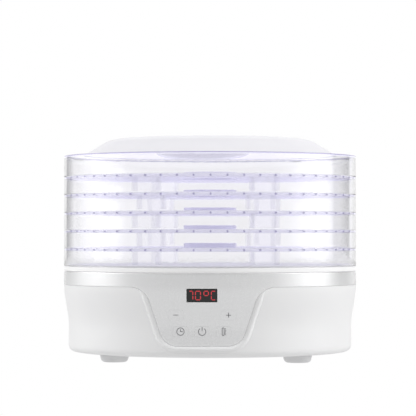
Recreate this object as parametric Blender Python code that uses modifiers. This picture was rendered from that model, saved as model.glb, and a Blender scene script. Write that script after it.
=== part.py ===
"""Round food dehydrator: a fan-heater base, five stacking trays and a vented lid.

Metres, +Z up, front towards -Y. The origin is on the floor, on the axis of the round body.
"""

import math

import bmesh
import bpy
from mathutils import Matrix, Vector

# Overall sizes
RADIUS = 0.160
SEGMENTS = 32
GAP = 0.0003
MERGE = 0.00001

# Heights of the base, from the floor up
FOOT_HEIGHT = 0.008
BAND_BOTTOM = 0.081
BAND_HEIGHT = 0.0145
RIM_HEIGHT = 0.0055
BAND_TOP = BAND_BOTTOM + BAND_HEIGHT
STACK_BOTTOM = BAND_TOP + RIM_HEIGHT

# Base housing: the side wall leans out in a soft S from its lower radius to the full radius
HOUSING_INSET = 0.0052
FLARE_START = 0.036
HOUSING_WALL = 0.0025
BOTTOM_FILLET = 0.007
FLANGE_INNER_RADIUS = 0.112
PLATE_THICKNESS = 0.0025

# Control apron, as seen from the front
APRON_BOTTOM = 0.020
APRON_SIDE_X = 0.052
APRON_SIDE_Z = 0.0565
APRON_SIDE_LEAN = 1 / 3
APRON_FLARE_RADIUS = 0.022
APRON_CORNER_RADIUS = 0.019

# Display and buttons on the apron
WINDOW_WIDTH = 0.0318
WINDOW_HEIGHT = 0.0140
WINDOW_Z = 0.0727
BUTTON_WIDTH = 0.0158
BUTTON_HEIGHT = 0.0106
BUTTON_CORNER = 0.0026
BUTTON_CLEARANCE = 0.0004
BUTTON_TRAVEL = 0.0008
BUTTON_STEM_RADIUS = 0.0022
UPPER_ROW_Z = 0.0524
UPPER_ROW_X = 0.0272
LOWER_ROW_Z = 0.0354
LOWER_ROW_X = 0.0224
BUTTONS = {
    "minus": (-UPPER_ROW_X, UPPER_ROW_Z),
    "plus": (UPPER_ROW_X, UPPER_ROW_Z),
    "timer": (-LOWER_ROW_X, LOWER_ROW_Z),
    "power": (0.0, LOWER_ROW_Z),
    "temperature": (LOWER_ROW_X, LOWER_ROW_Z),
}

# Control board behind the apron
BOARD_SETBACK = 0.0168
BOARD_MARGIN = 0.0025
BOARD_THICKNESS = 0.0016
BOARD_HALF_WIDTH = 0.040
SWITCH_SIZE = 0.006
SWITCH_DEPTH = 0.0043
PLUNGER_RADIUS = 0.0017
PLUNGER_LENGTH = 0.0010
SWITCH_CLEARANCE = 0.0004
MODULE_DEPTH = 0.008

# Deck
DECK_THICKNESS = 0.002
DECK_DEPTH = 0.007
DECK_SKIRT = 0.0055
OUTLET_RADIUS = 0.060
OUTLET_LIP = 0.0035
OUTLET_WALL = 0.002
GRILLE_THICKNESS = 0.0022
GRILLE_HUB_RADIUS = 0.012
GRILLE_BAR = 0.004
GRILLE_SLOT = 0.0045
GRILLE_EDGE = 0.006

# Trays
TRAY_COUNT = 5
TRAY_PITCH = 0.0194
TRAY_WALL = 0.002
TRAY_FLOOR = 0.0014
FLOOR_DROP = 0.0006
SPIGOT_HEIGHT = 0.0017
SPIGOT_WALL = 0.0017
SPIGOT_CLEARANCE = 0.0008
COLLAR_RADIUS = 0.029
COLLAR_WALL = 0.002
COLLAR_HEIGHT = 0.006
SLOT_START = 0.011
SLOT_BREAK = 0.008
INNER_SLOT_LENGTH = 0.038
OUTER_SLOT_LENGTH = 0.034
INNER_SLOT_WIDTH = 0.016
OUTER_SLOT_WIDTH = 0.024
PILLAR_SETBACK = 0.008
PILLAR_WIDTH = 0.030
PILLAR_DEPTH = 0.012
PILLAR_WALL = 0.0016
PILLAR_CLEARANCE = 0.0024
PILLAR_ANGLES = (-26.5, 28.0, 156.0, 206.0)

# Lid
LID_SKIRT = 0.023
LID_WALL = 0.002
DOME_INSET = 0.030
LEDGE_WIDTH = 0.006
DOME_LEAN = 0.021
DOME_SHOULDER_HEIGHT = 0.0145
DOME_HEIGHT = 0.0205
GRIP_HALF_WIDTH = 0.047
GRIP_HALF_DEPTH = 0.015
GRIP_DROP = 0.0075
GRIP_INSET = 0.018
VENT_COUNT = 8
VENT_SPAN = (0.012, 0.026)
VENT_WIDTH = 0.003

# Air path
DUCT_WALL = 0.003
FAN_TIP_CLEARANCE = 0.005
FAN_HUB_RADIUS = 0.011
FAN_BLADES = 7
FAN_PITCH = 35
FAN_CLEARANCE = 0.0026
FAN_HUB_HEIGHT = 0.013
BLADE_CHORD = 0.020
BLADE_THICKNESS = 0.0015

# Motor
MOTOR_RADIUS = 0.022
MOTOR_HEIGHT = 0.022
MOTOR_WALL = 0.0015
ROTOR_RADIUS = 0.0144
AIR_GAP = 0.0006
SHAFT_RADIUS = 0.0016
BUSH_RADIUS = 0.0042
BUSH_LENGTH = 0.0035
SHAFT_LENGTH = 0.042
BRACKET_END_CLEARANCE = 0.005
BRACKET_WIDTH = 0.022
BRACKET_THICKNESS = 0.0015
BRACKET_SCREW_INSET = 0.006
BOSS_HEIGHT = 0.0027
BOSS_RADIUS = 0.0042

# Heater
HEATER_CLEARANCE = 0.008
HEATER_HEIGHT = 0.016
MICA_THICKNESS = 0.0012
COIL_WIRE_RADIUS = 0.0018
COIL_TURNS = 3
COIL_INNER_RADIUS = 0.018
COIL_EDGE_CLEARANCE = 0.009
CUTOUT_SIZE = (0.014, 0.006, 0.010)
CUTOUT_X = 0.027
SENSOR_X = -0.030
SENSOR_RADIUS = 0.0022

# Power board
POWER_BOARD_Y = 0.104
POWER_BOARD_WIDTH = 0.080
POWER_BOARD_DEPTH = 0.048
POWER_BOSS_HEIGHT = 0.005
LEAD_RADIUS = 0.0012

# Feet and screws
FOOT_X = 0.097
FOOT_Y = 0.085
FOOT_TOP_RADIUS = 0.0155
FOOT_BOTTOM_RADIUS = 0.0120
FOOT_EDGE = 0.0015
COUNTERBORE_RADIUS = 0.005
COUNTERBORE_DEPTH = 0.0045
SCREW_RADIUS = 0.0017
SCREW_CLEARANCE = 0.0004
SCREW_HEAD_RADIUS = 0.0042
SCREW_HEAD_HEIGHT = 0.0022

# Cord gland
GLAND_Z = 0.030
GLAND_NECK_RADIUS = 0.0055
GLAND_FLANGE_RADIUS = 0.0075
GLAND_BORE_RADIUS = 0.0034
GLAND_STAND = 0.0035

# Sizes and heights that follow
HOUSING_RADIUS = RADIUS - HOUSING_INSET
DOME_RADIUS = RADIUS - DOME_INSET
DOME_SHOULDER_RADIUS = DOME_RADIUS - DOME_LEAN
LEDGE_RADIUS = DOME_RADIUS - LEDGE_WIDTH
GRIP_CENTRE_RADIUS = RADIUS - GRIP_INSET
INNER_SLOTS = (COLLAR_RADIUS + SLOT_START, COLLAR_RADIUS + SLOT_START + INNER_SLOT_LENGTH)
OUTER_SLOTS = (INNER_SLOTS[1] + SLOT_BREAK, INNER_SLOTS[1] + SLOT_BREAK + OUTER_SLOT_LENGTH)
PILLAR_RADIUS = OUTER_SLOTS[1] + PILLAR_SETBACK
DUCT_RADIUS = OUTLET_RADIUS
DUCT_INSIDE = DUCT_RADIUS - DUCT_WALL
FAN_RADIUS = DUCT_INSIDE - FAN_TIP_CLEARANCE
BRACKET_HALF_LENGTH = DUCT_INSIDE - BRACKET_END_CLEARANCE
BRACKET_SCREW_X = BRACKET_HALF_LENGTH - BRACKET_SCREW_INSET
FLANGE_TOP = FOOT_HEIGHT + HOUSING_WALL
PLATE_BOTTOM = FLANGE_TOP + GAP
PLATE_TOP = PLATE_BOTTOM + PLATE_THICKNESS
RIM_TOP = STACK_BOTTOM - GAP
DECK_TOP = STACK_BOTTOM - DECK_DEPTH
DECK_BOTTOM = DECK_TOP - DECK_THICKNESS
SPIGOT_RADIUS = RADIUS - TRAY_WALL - SPIGOT_CLEARANCE
LID_BOTTOM = STACK_BOTTOM + TRAY_COUNT * TRAY_PITCH
LID_RIM = LID_BOTTOM + LID_SKIRT
BRACKET_BOTTOM = PLATE_TOP + BOSS_HEIGHT + GAP
MOTOR_BOTTOM = BRACKET_BOTTOM + BRACKET_THICKNESS + GAP
MOTOR_TOP = MOTOR_BOTTOM + MOTOR_HEIGHT
MOTOR_CAP_TOP = MOTOR_TOP + GAP + MOTOR_WALL
FAN_BOTTOM = MOTOR_CAP_TOP + FAN_CLEARANCE
HEATER_TOP = DECK_BOTTOM - HEATER_CLEARANCE - 2 * COIL_WIRE_RADIUS - GAP
HEATER_BOTTOM = HEATER_TOP - HEATER_HEIGHT
COIL_PITCH = (DUCT_INSIDE - COIL_EDGE_CLEARANCE - COIL_INNER_RADIUS) / COIL_TURNS
SCREW_HOLE_RADIUS = SCREW_RADIUS + SCREW_CLEARANCE
BOARD_Y = -(HOUSING_RADIUS - BOARD_SETBACK)
BOARD_FRONT = BOARD_Y - BOARD_THICKNESS
POWER_BOARD_BOTTOM = PLATE_TOP + POWER_BOSS_HEIGHT + GAP
POWER_BOARD_TOP = POWER_BOARD_BOTTOM + BOARD_THICKNESS

# Finishes: colour, roughness, metallic
FINISHES = {
    "white_plastic": ((0.86, 0.86, 0.87), 0.35, 0.0),
    "silver_plastic": ((0.62, 0.63, 0.65), 0.32, 0.6),
    "clear_plastic": ((0.80, 0.80, 0.95), 0.08, 0.0),
    "frosted_plastic": ((0.84, 0.84, 0.92), 0.35, 0.0),
    "dark_window": ((0.03, 0.035, 0.035), 0.10, 0.0),
    "black_plastic": ((0.04, 0.04, 0.045), 0.45, 0.0),
    "circuit_board": ((0.05, 0.22, 0.10), 0.45, 0.0),
    "steel": ((0.62, 0.62, 0.64), 0.30, 1.0),
    "brass": ((0.80, 0.62, 0.28), 0.30, 1.0),
    "mica": ((0.62, 0.55, 0.42), 0.60, 0.0),
    "heating_wire": ((0.30, 0.27, 0.25), 0.40, 1.0),
    "red_lead": ((0.55, 0.05, 0.04), 0.45, 0.0),
    "grey_ribbon": ((0.45, 0.45, 0.47), 0.50, 0.0),
    "cutter": ((0.9, 0.3, 0.1), 0.5, 0.0),
}


def new_collection(name):
    made = bpy.data.collections.new(name)
    bpy.context.scene.collection.children.link(made)
    return made


def clear_scene():
    for obj in list(bpy.data.objects):
        bpy.data.objects.remove(obj, do_unlink=True)


clear_scene()
PARTS = new_collection("food_dehydrator")
CUTTERS = new_collection("cutters")


def finish_material(node, finish):
    """A Principled material of the node's own, in one of the named finishes."""
    colour, roughness, metallic = FINISHES[finish]
    material = bpy.data.materials.new(f"{node}_{finish}")
    material.use_nodes = True
    shader = material.node_tree.nodes["Principled BSDF"]
    shader.inputs["Base Color"].default_value = (*colour, 1.0)
    shader.inputs["Roughness"].default_value = roughness
    shader.inputs["Metallic"].default_value = metallic
    return material


def place(mesh, name, finish, location=(0.0, 0.0, 0.0)):
    """Links a mesh as a part of the object, or as a cutter when its finish says so."""
    obj = bpy.data.objects.new(name, mesh)
    is_cutter = finish == "cutter"
    (CUTTERS if is_cutter else PARTS).objects.link(obj)
    obj.location = location
    obj.data.materials.append(finish_material(name, finish))
    if is_cutter:
        obj.hide_render = True
        obj.display_type = "WIRE"
    return obj


def finished_mesh(shape, name, smooth=False):
    """A mesh from a bmesh; round shapes are shaded smooth up to their sharp edges."""
    mesh = bpy.data.meshes.new(name)
    shape.to_mesh(mesh)
    shape.free()
    if smooth:
        mesh.shade_smooth()
        mesh.set_sharp_from_angle(angle=math.radians(35))
    return mesh


def turned(name, profile, finish, location=(0.0, 0.0, 0.0), segments=SEGMENTS):
    """A profile of (radius, height) points turned about Z, given down its outer side.

    A profile that starts and ends on the axis stays open there; any other is a closed ring.
    """
    on_axis = profile[0][0] == 0.0 and profile[-1][0] == 0.0
    count = len(profile)
    edges = [(i, i + 1) for i in range(count - 1)]
    if not on_axis:
        edges.append((count - 1, 0))
    mesh = bpy.data.meshes.new(name)
    mesh.from_pydata([(r, 0.0, z) for r, z in profile], edges, [])
    obj = place(mesh, name, finish, location)
    screw = obj.modifiers.new("Turn", "SCREW")
    screw.axis = "Z"
    screw.angle = math.tau
    screw.steps = segments
    screw.render_steps = segments
    screw.use_merge_vertices = True
    screw.merge_threshold = MERGE
    screw.use_smooth_shade = True
    return obj


def as_mesh(obj):
    """The object with its modifiers or its curve made into a plain mesh, doubles welded."""
    bpy.context.view_layer.update()
    graph = bpy.context.evaluated_depsgraph_get()
    mesh = bpy.data.meshes.new_from_object(obj.evaluated_get(graph))
    shape = bmesh.new()
    shape.from_mesh(mesh)
    bmesh.ops.remove_doubles(shape, verts=shape.verts, dist=MERGE)
    bmesh.ops.recalc_face_normals(shape, faces=shape.faces)
    shape.to_mesh(mesh)
    shape.free()
    made = bpy.data.objects.new(obj.name, mesh)
    made.matrix_world = obj.matrix_world.copy()
    made.hide_render = obj.hide_render
    made.display_type = obj.display_type
    for owner in obj.users_collection:
        owner.objects.link(made)
    name = obj.name
    bpy.data.objects.remove(obj, do_unlink=True)
    made.name = name
    return made


def boolean(obj, other, operation):
    modifier = obj.modifiers.new(operation.title(), "BOOLEAN")
    modifier.operation = operation
    modifier.object = other
    modifier.solver = "EXACT"
    return obj


def cut(obj, cutter):
    return boolean(obj, cutter, "DIFFERENCE")


def join(obj, other):
    """Unites a helper shape with the object; the helper is kept with the cutters."""
    other.hide_render = True
    other.display_type = "WIRE"
    return boolean(obj, other, "UNION")


def add_block(shape, size, centre, turn=None):
    """Adds a box of the given size to a bmesh, turned by a matrix and then moved to its centre."""
    matrix = Matrix.Translation(Vector(centre)) @ (turn or Matrix()) @ Matrix.Diagonal((*size, 1.0))
    bmesh.ops.create_cube(shape, size=1.0, matrix=matrix)


def blocks(name, finish, boxes):
    """One object made of boxes, each a (size, centre) pair or a (size, centre, turn) triple."""
    shape = bmesh.new()
    for box in boxes:
        add_block(shape, *box)
    return place(finished_mesh(shape, name), name, finish)


def span_block(name, finish, low, high):
    """A box between two corners."""
    size = [b - a for a, b in zip(low, high)]
    centre = [(a + b) / 2 for a, b in zip(low, high)]
    return blocks(name, finish, [(size, centre)])


def rods(name, finish, places, radius, low, high, sides=12):
    """Upright cylinders of one radius between two heights, at the given (x, y) places."""
    shape = bmesh.new()
    for x, y in places:
        bmesh.ops.create_cone(
            shape,
            cap_ends=True,
            segments=sides,
            radius1=radius,
            radius2=radius,
            depth=high - low,
            matrix=Matrix.Translation((x, y, (low + high) / 2)),
        )
    return place(finished_mesh(shape, name, smooth=True), name, finish)


def rod_along_y(name, x, z, radius, start, end, sides=10):
    """A level cutter cylinder from front to back, used for stems, plungers and the gland's hole."""
    shape = bmesh.new()
    turn = Matrix.Rotation(math.pi / 2, 4, "X")
    bmesh.ops.create_cone(
        shape,
        cap_ends=True,
        segments=sides,
        radius1=radius,
        radius2=radius,
        depth=end - start,
        matrix=Matrix.Translation((x, (start + end) / 2, z)) @ turn,
    )
    return place(finished_mesh(shape, name, smooth=True), name, "cutter")


def slot_ring(name, count, inner, outer, width, low, high, offset=0.0):
    """A cutter of straight radial slots, evenly spaced round the axis."""
    size = (outer - inner, width, high - low)
    boxes = []
    for i in range(count):
        turn = Matrix.Rotation(math.tau * (i + offset) / count, 4, "Z")
        centre = turn @ Vector(((inner + outer) / 2, 0.0, (low + high) / 2))
        boxes.append((size, centre, turn))
    return blocks(name, "cutter", boxes)


def rounded_outline(corners, steps=7):
    """A closed outline of arcs: each corner is (x, z, radius), given anticlockwise."""
    points = []
    count = len(corners)
    for i, (x, z, radius) in enumerate(corners):
        here = Vector((x, z))
        back = (Vector(corners[i - 1][:2]) - here).normalized()
        on = (Vector(corners[(i + 1) % count][:2]) - here).normalized()
        if radius <= 0.0:
            points.append(here)
            continue
        half = back.angle(on) / 2
        centre = here + (back + on).normalized() * (radius / math.sin(half))
        start = here + back * (radius / math.tan(half)) - centre
        end = here + on * (radius / math.tan(half)) - centre
        sweep = start.angle_signed(end)
        for k in range(steps + 1):
            angle = -sweep * k / steps
            turn = Matrix.Rotation(angle, 2)
            points.append(centre + turn @ start)
    return points


def front_prism(name, outline, finish, depth=(-0.2, -0.1)):
    """An (x, z) outline carried along Y, as a closed prism."""
    curve = bpy.data.curves.new(name, "CURVE")
    curve.dimensions = "2D"
    curve.fill_mode = "BOTH"
    curve.extrude = (depth[1] - depth[0]) / 2
    spline = curve.splines.new("POLY")
    spline.points.add(len(outline) - 1)
    for point, (x, z) in zip(spline.points, outline):
        point.co = (x, z, 0.0, 1.0)
    spline.use_cyclic_u = True
    obj = place(curve, name, finish)
    obj.rotation_euler = (math.pi / 2, 0.0, 0.0)
    obj.location = (0.0, (depth[0] + depth[1]) / 2, 0.0)
    return as_mesh(obj)


def tube(name, points, radius, finish, resolution=2):
    """A round wire along the given points."""
    curve = bpy.data.curves.new(name, "CURVE")
    curve.dimensions = "3D"
    curve.bevel_depth = radius
    curve.bevel_resolution = resolution
    curve.use_fill_caps = True
    spline = curve.splines.new("POLY")
    spline.points.add(len(points) - 1)
    for point, place_at in zip(spline.points, points):
        point.co = (*place_at, 1.0)
    return place(curve, name, finish)


def smooth_route(stops, steps=3):
    """Points along a Catmull-Rom curve through the stops."""
    ends = [stops[0], *stops, stops[-1]]
    points = []
    for a, b, c, d in zip(ends, ends[1:], ends[2:], ends[3:]):
        a, b, c, d = (Vector(stop) for stop in (a, b, c, d))
        for k in range(steps):
            t = k / steps
            points.append(
                0.5 * (2 * b + (c - a) * t + (2 * a - 5 * b + 4 * c - d) * t**2
                       + (3 * b - a - 3 * c + d) * t**3)
            )
    points.append(Vector(stops[-1]))
    return points


def side_radius(z):
    """Outer radius of the base's side wall: straight, then a smoothstep flare up to the band."""
    t = min(max((z - FLARE_START) / (BAND_BOTTOM - FLARE_START), 0.0), 1.0)
    return HOUSING_RADIUS + (RADIUS - HOUSING_RADIUS) * t * t * (3 - 2 * t)


def wall_profile(bottom, top, steps=6):
    """The base's side wall between two heights, as a closed ring profile."""
    flare = [FLARE_START + (BAND_BOTTOM - FLARE_START) * i / steps for i in range(steps + 1)]
    heights = [bottom, *(z for z in flare if bottom < z < top), top]
    outer = [(side_radius(z), z) for z in reversed(heights)]
    inner = [(side_radius(z) - HOUSING_WALL, z) for z in heights]
    return outer + inner


def apron_outline(inset=0.0):
    """The control apron seen from the front, drawn in by an inset all round."""
    slant = math.hypot(1.0, APRON_SIDE_LEAN)
    top = BAND_BOTTOM + inset
    bottom = APRON_BOTTOM + inset

    def side(z):
        return APRON_SIDE_X + (z - APRON_SIDE_Z) * APRON_SIDE_LEAN - inset * slant

    flare = APRON_FLARE_RADIUS + inset
    corner = APRON_CORNER_RADIUS - inset
    above = BAND_BOTTOM + BAND_HEIGHT / 2
    reach = side(top) + 2 * flare
    right = [(side(bottom), bottom, corner), (side(top), top, flare), (reach, top, 0), (reach, above, 0)]
    left = [(-x, z, r) for x, z, r in reversed(right)]
    return rounded_outline(right + left)


def window_outline(width, height, corner, centre):
    x, z = centre
    w, h = width / 2, height / 2
    return rounded_outline(
        [(x - w, z - h, corner), (x + w, z - h, corner), (x + w, z + h, corner), (x - w, z + h, corner)],
        steps=3,
    )


def foot_places():
    return [(sx * FOOT_X, sy * FOOT_Y) for sy in (-1, 1) for sx in (-1, 1)]


def foot_screw_holes():
    places = foot_places()
    return rods("foot_screw_holes", "cutter", places, SCREW_HOLE_RADIUS, -GAP, PLATE_TOP + 2 * GAP)


def base_housing(screw_holes):
    """White tub: flared side wall, rounded bottom edge and an inward flange over the feet."""
    arc = []
    for k in range(4):
        angle = math.pi / 2 * k / 3
        r = HOUSING_RADIUS - BOTTOM_FILLET * (1 - math.cos(angle))
        arc.append((r, FOOT_HEIGHT + BOTTOM_FILLET * (1 - math.sin(angle))))
    side = wall_profile(FOOT_HEIGHT + BOTTOM_FILLET + GAP, BAND_BOTTOM - GAP)
    half = len(side) // 2
    corner = (HOUSING_RADIUS - HOUSING_WALL, FLANGE_TOP + HOUSING_WALL)
    inside = (HOUSING_RADIUS - 2 * HOUSING_WALL, FLANGE_TOP)
    flange = [(FLANGE_INNER_RADIUS, FOOT_HEIGHT), (FLANGE_INNER_RADIUS, FLANGE_TOP)]
    profile = side[:half] + arc + flange + [inside, corner] + side[half + 1 :]
    housing = turned("base_housing", profile, "white_plastic")
    cut(housing, front_prism("apron_opening", apron_outline(), "cutter"))
    cut(housing, screw_holes)
    reach = 4 * HOUSING_WALL
    start, end = HOUSING_RADIUS - reach, HOUSING_RADIUS + reach
    cut(housing, rod_along_y("gland_hole", 0.0, GLAND_Z, GLAND_NECK_RADIUS + GAP, start, end, sides=16))


def cord_gland():
    """Bush that grips the mains cord where it passes the rear wall, flanged on both sides."""
    wall_inside = -HOUSING_WALL - 2 * GAP
    flange = 0.0018
    profile = [
        (GLAND_BORE_RADIUS, GLAND_STAND),
        (GLAND_NECK_RADIUS, GLAND_STAND),
        (GLAND_FLANGE_RADIUS, GLAND_STAND - flange / 2),
        (GLAND_FLANGE_RADIUS, 2 * GAP),
        (GLAND_NECK_RADIUS, 2 * GAP),
        (GLAND_NECK_RADIUS, wall_inside - GAP),
        (GLAND_FLANGE_RADIUS, wall_inside - GAP),
        (GLAND_FLANGE_RADIUS, wall_inside - GAP - flange),
        (GLAND_BORE_RADIUS, wall_inside - GAP - flange),
    ]
    gland = turned("cord_gland", profile, "black_plastic", segments=16)
    gland.rotation_euler = (-math.pi / 2, 0.0, 0.0)
    gland.location = (0.0, HOUSING_RADIUS, GLAND_Z)


def trim_panel(openings):
    """Silver band all round the body, widened at the front into the control apron."""
    panel = turned("trim_panel", wall_profile(APRON_BOTTOM - GAP, BAND_TOP), "silver_plastic")
    below = BAND_BOTTOM + GAP
    outside = RADIUS * 1.2
    keep = front_prism("apron_shape", apron_outline(GAP), "cutter")
    waste = turned("below_band", [(0.0, below), (outside, below), (outside, 0.0), (0.0, 0.0)], "cutter")
    cut(waste, keep)
    cut(panel, waste)
    for opening in openings:
        cut(panel, opening)


def apron_piece(name, outline, finish):
    """A piece that fills an opening of the apron, flush with its curved surface."""
    piece = turned(name, wall_profile(APRON_BOTTOM, BAND_BOTTOM - GAP), finish)
    boolean(piece, front_prism(f"{name}_shape", outline, "cutter"), "INTERSECT")
    return piece


def panel_openings():
    window = window_outline(WINDOW_WIDTH, WINDOW_HEIGHT, 0.0, (0.0, WINDOW_Z))
    openings = [front_prism("window_opening", window, "cutter")]
    for name, centre in BUTTONS.items():
        outline = window_outline(BUTTON_WIDTH, BUTTON_HEIGHT, BUTTON_CORNER, centre)
        openings.append(front_prism(f"{name}_opening", outline, "cutter"))
    return openings


def display_lens():
    width, height = WINDOW_WIDTH - 2 * GAP, WINDOW_HEIGHT - 2 * GAP
    outline = window_outline(width, height, 0.0, (0.0, WINDOW_Z))
    apron_piece("display_lens", outline, "dark_window")


def switch_front():
    return BOARD_FRONT - GAP - SWITCH_DEPTH - PLUNGER_LENGTH


def push_button(name, centre):
    """A button cap flush with the apron, with a stem that reaches back to its switch."""
    x, z = centre
    slack = 2 * BUTTON_CLEARANCE
    outline = window_outline(
        BUTTON_WIDTH - slack, BUTTON_HEIGHT - slack, BUTTON_CORNER - BUTTON_CLEARANCE, centre
    )
    cap = apron_piece(f"button_{name}", outline, "silver_plastic")
    back = -math.sqrt((side_radius(z) - HOUSING_WALL) ** 2 - x * x)
    stem_end = switch_front() - BUTTON_TRAVEL - SWITCH_CLEARANCE
    stem_start = back - HOUSING_WALL / 2
    stem = rod_along_y(f"{name}_stem", x, z, BUTTON_STEM_RADIUS, stem_start, stem_end)
    join(cap, stem)


def tact_switch(name, centre):
    """A switch can on the control board, with its round plunger facing the button."""
    x, z = centre
    back = BOARD_FRONT - GAP
    front = back - SWITCH_DEPTH
    half = SWITCH_SIZE / 2
    low, high = (x - half, front, z - half), (x + half, back, z + half)
    switch = span_block(f"switch_{name}", "black_plastic", low, high)
    plunger_start, plunger_end = front - PLUNGER_LENGTH, front + PLUNGER_LENGTH
    join(switch, rod_along_y(f"{name}_plunger", x, z, PLUNGER_RADIUS, plunger_start, plunger_end))


def control_board():
    low = LOWER_ROW_Z - BUTTON_HEIGHT
    high = WINDOW_Z + WINDOW_HEIGHT / 2 + BOARD_MARGIN
    corners = (-BOARD_HALF_WIDTH, BOARD_FRONT, low), (BOARD_HALF_WIDTH, BOARD_Y, high)
    span_block("control_board", "circuit_board", *corners)
    back = BOARD_FRONT - GAP
    half_width = WINDOW_WIDTH / 2
    half_height = WINDOW_HEIGHT / 2
    span_block(
        "display_module",
        "black_plastic",
        (-half_width, back - MODULE_DEPTH, WINDOW_Z - half_height),
        (half_width, back, WINDOW_Z + half_height),
    )


def base_bottom(screw_holes):
    """Bottom plate on the housing's flange, with the air inlet grille and the standing bosses."""
    edge = HOUSING_RADIUS - 2 * HOUSING_WALL - 4 * GAP
    profile = [(0.0, PLATE_TOP), (edge, PLATE_TOP), (edge, PLATE_BOTTOM), (0.0, PLATE_BOTTOM)]
    plate = turned("base_bottom", profile, "white_plastic")
    under = PLATE_BOTTOM - GAP
    over = PLATE_TOP + GAP
    middle = (GRILLE_HUB_RADIUS + DUCT_INSIDE) / 2
    inner = (GRILLE_HUB_RADIUS + GRILLE_BAR, middle - GRILLE_BAR)
    outer = (middle, DUCT_INSIDE - GRILLE_BAR)
    inner_slots = slot_ring("inlet_slots_inner", 12, *inner, GRILLE_SLOT, under, over, offset=0.5)
    outer_slots = slot_ring("inlet_slots_outer", 24, *outer, GRILLE_SLOT, under, over, offset=0.5)
    root = PLATE_TOP - PLATE_THICKNESS / 2
    motor_boss_top = PLATE_TOP + BOSS_HEIGHT
    board_boss_top = PLATE_TOP + POWER_BOSS_HEIGHT
    motor_bosses = rods("motor_bosses", "cutter", bracket_places(), BOSS_RADIUS, root, motor_boss_top)
    board_bosses = rods("board_bosses", "cutter", board_boss_places(), BOSS_RADIUS, root, board_boss_top)
    cut(plate, inner_slots)
    cut(plate, outer_slots)
    join(plate, motor_bosses)
    join(plate, board_bosses)
    cut(plate, screw_holes)
    cut(plate, bracket_screw_holes())


def bracket_places():
    return [(-BRACKET_SCREW_X, 0.0), (BRACKET_SCREW_X, 0.0)]


def bracket_screw_holes():
    top = BRACKET_BOTTOM + BRACKET_THICKNESS + GAP
    return rods("bracket_screw_holes", "cutter", bracket_places(), SCREW_HOLE_RADIUS, PLATE_BOTTOM - GAP, top)


def board_boss_places():
    x = POWER_BOARD_WIDTH / 2 - BOSS_RADIUS
    y = POWER_BOARD_DEPTH / 2 - BOSS_RADIUS
    return [(sx * x, POWER_BOARD_Y + sy * y) for sx in (-1, 1) for sy in (-1, 1)]


def top_deck():
    """White lid of the base: outer rim, spigot for the lowest tray, sunk floor and outlet lip."""
    inner_wall = SPIGOT_RADIUS - SPIGOT_WALL
    skirt_radius = RADIUS - HOUSING_WALL - GAP
    rim_bottom = BAND_TOP + GAP
    profile = [
        (OUTLET_RADIUS, DECK_TOP + OUTLET_LIP),
        (OUTLET_RADIUS + OUTLET_WALL, DECK_TOP + OUTLET_LIP),
        (OUTLET_RADIUS + OUTLET_WALL, DECK_TOP),
        (inner_wall, DECK_TOP),
        (inner_wall, RIM_TOP + SPIGOT_HEIGHT),
        (SPIGOT_RADIUS, RIM_TOP + SPIGOT_HEIGHT),
        (SPIGOT_RADIUS, RIM_TOP),
        (RADIUS, RIM_TOP),
        (RADIUS, rim_bottom),
        (skirt_radius, rim_bottom),
        (skirt_radius, rim_bottom - DECK_SKIRT),
        (inner_wall - DECK_THICKNESS, rim_bottom - DECK_SKIRT),
        (inner_wall - DECK_THICKNESS, DECK_BOTTOM),
        (OUTLET_RADIUS, DECK_BOTTOM),
    ]
    turned("top_deck", profile, "white_plastic")


def outlet_grille():
    radius = OUTLET_RADIUS - GAP
    low = DECK_BOTTOM
    high = low + GRILLE_THICKNESS
    disc = [(0.0, high), (radius, high), (radius, low), (0.0, low)]
    grille = turned("outlet_grille", disc, "white_plastic")
    middle = (GRILLE_HUB_RADIUS + radius) / 2
    inner = (GRILLE_HUB_RADIUS, middle - GRILLE_BAR)
    outer = (middle, radius - GRILLE_EDGE)
    cut(grille, slot_ring("outlet_slots_inner", 12, *inner, GRILLE_SLOT, low - GAP, high + GAP))
    cut(grille, slot_ring("outlet_slots_outer", 24, *outer, GRILLE_SLOT, low - GAP, high + GAP))


def air_duct():
    low = PLATE_TOP + GAP
    high = DECK_BOTTOM - GAP
    profile = [(DUCT_INSIDE, high), (DUCT_RADIUS, high), (DUCT_RADIUS, low), (DUCT_INSIDE, low)]
    turned("air_duct", profile, "steel")


def tray(number, lift):
    """Skirt wall hanging from a slotted floor, with a spigot ring, an air collar and four pillars.

    Every second tray is turned half round, as the trays are stacked to keep their pillars apart.
    """
    floor_top = TRAY_PITCH - FLOOR_DROP
    floor_bottom = floor_top - TRAY_FLOOR
    seat = TRAY_PITCH - GAP
    profile = [
        (COLLAR_RADIUS - COLLAR_WALL, floor_top + COLLAR_HEIGHT),
        (COLLAR_RADIUS, floor_top + COLLAR_HEIGHT),
        (COLLAR_RADIUS, floor_top),
        (SPIGOT_RADIUS - SPIGOT_WALL, floor_top),
        (SPIGOT_RADIUS - SPIGOT_WALL, seat + SPIGOT_HEIGHT),
        (SPIGOT_RADIUS, seat + SPIGOT_HEIGHT),
        (SPIGOT_RADIUS, seat),
        (RADIUS, seat),
        (RADIUS, 0.0),
        (RADIUS - TRAY_WALL, 0.0),
        (RADIUS - TRAY_WALL, floor_bottom),
        (COLLAR_RADIUS - COLLAR_WALL, floor_bottom),
    ]
    obj = turned(f"tray_{number}", profile, "clear_plastic", location=(0.0, 0.0, lift))
    low, high = floor_bottom - GAP, floor_top + GAP
    for helper in tray_helpers(low, high, floor_bottom):
        if "slots" in helper.name:
            cut(obj, helper)
        else:
            join(obj, helper)
        helper.parent = obj
    if number % 2 == 0:
        obj.rotation_euler = (0.0, 0.0, math.pi)


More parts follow.
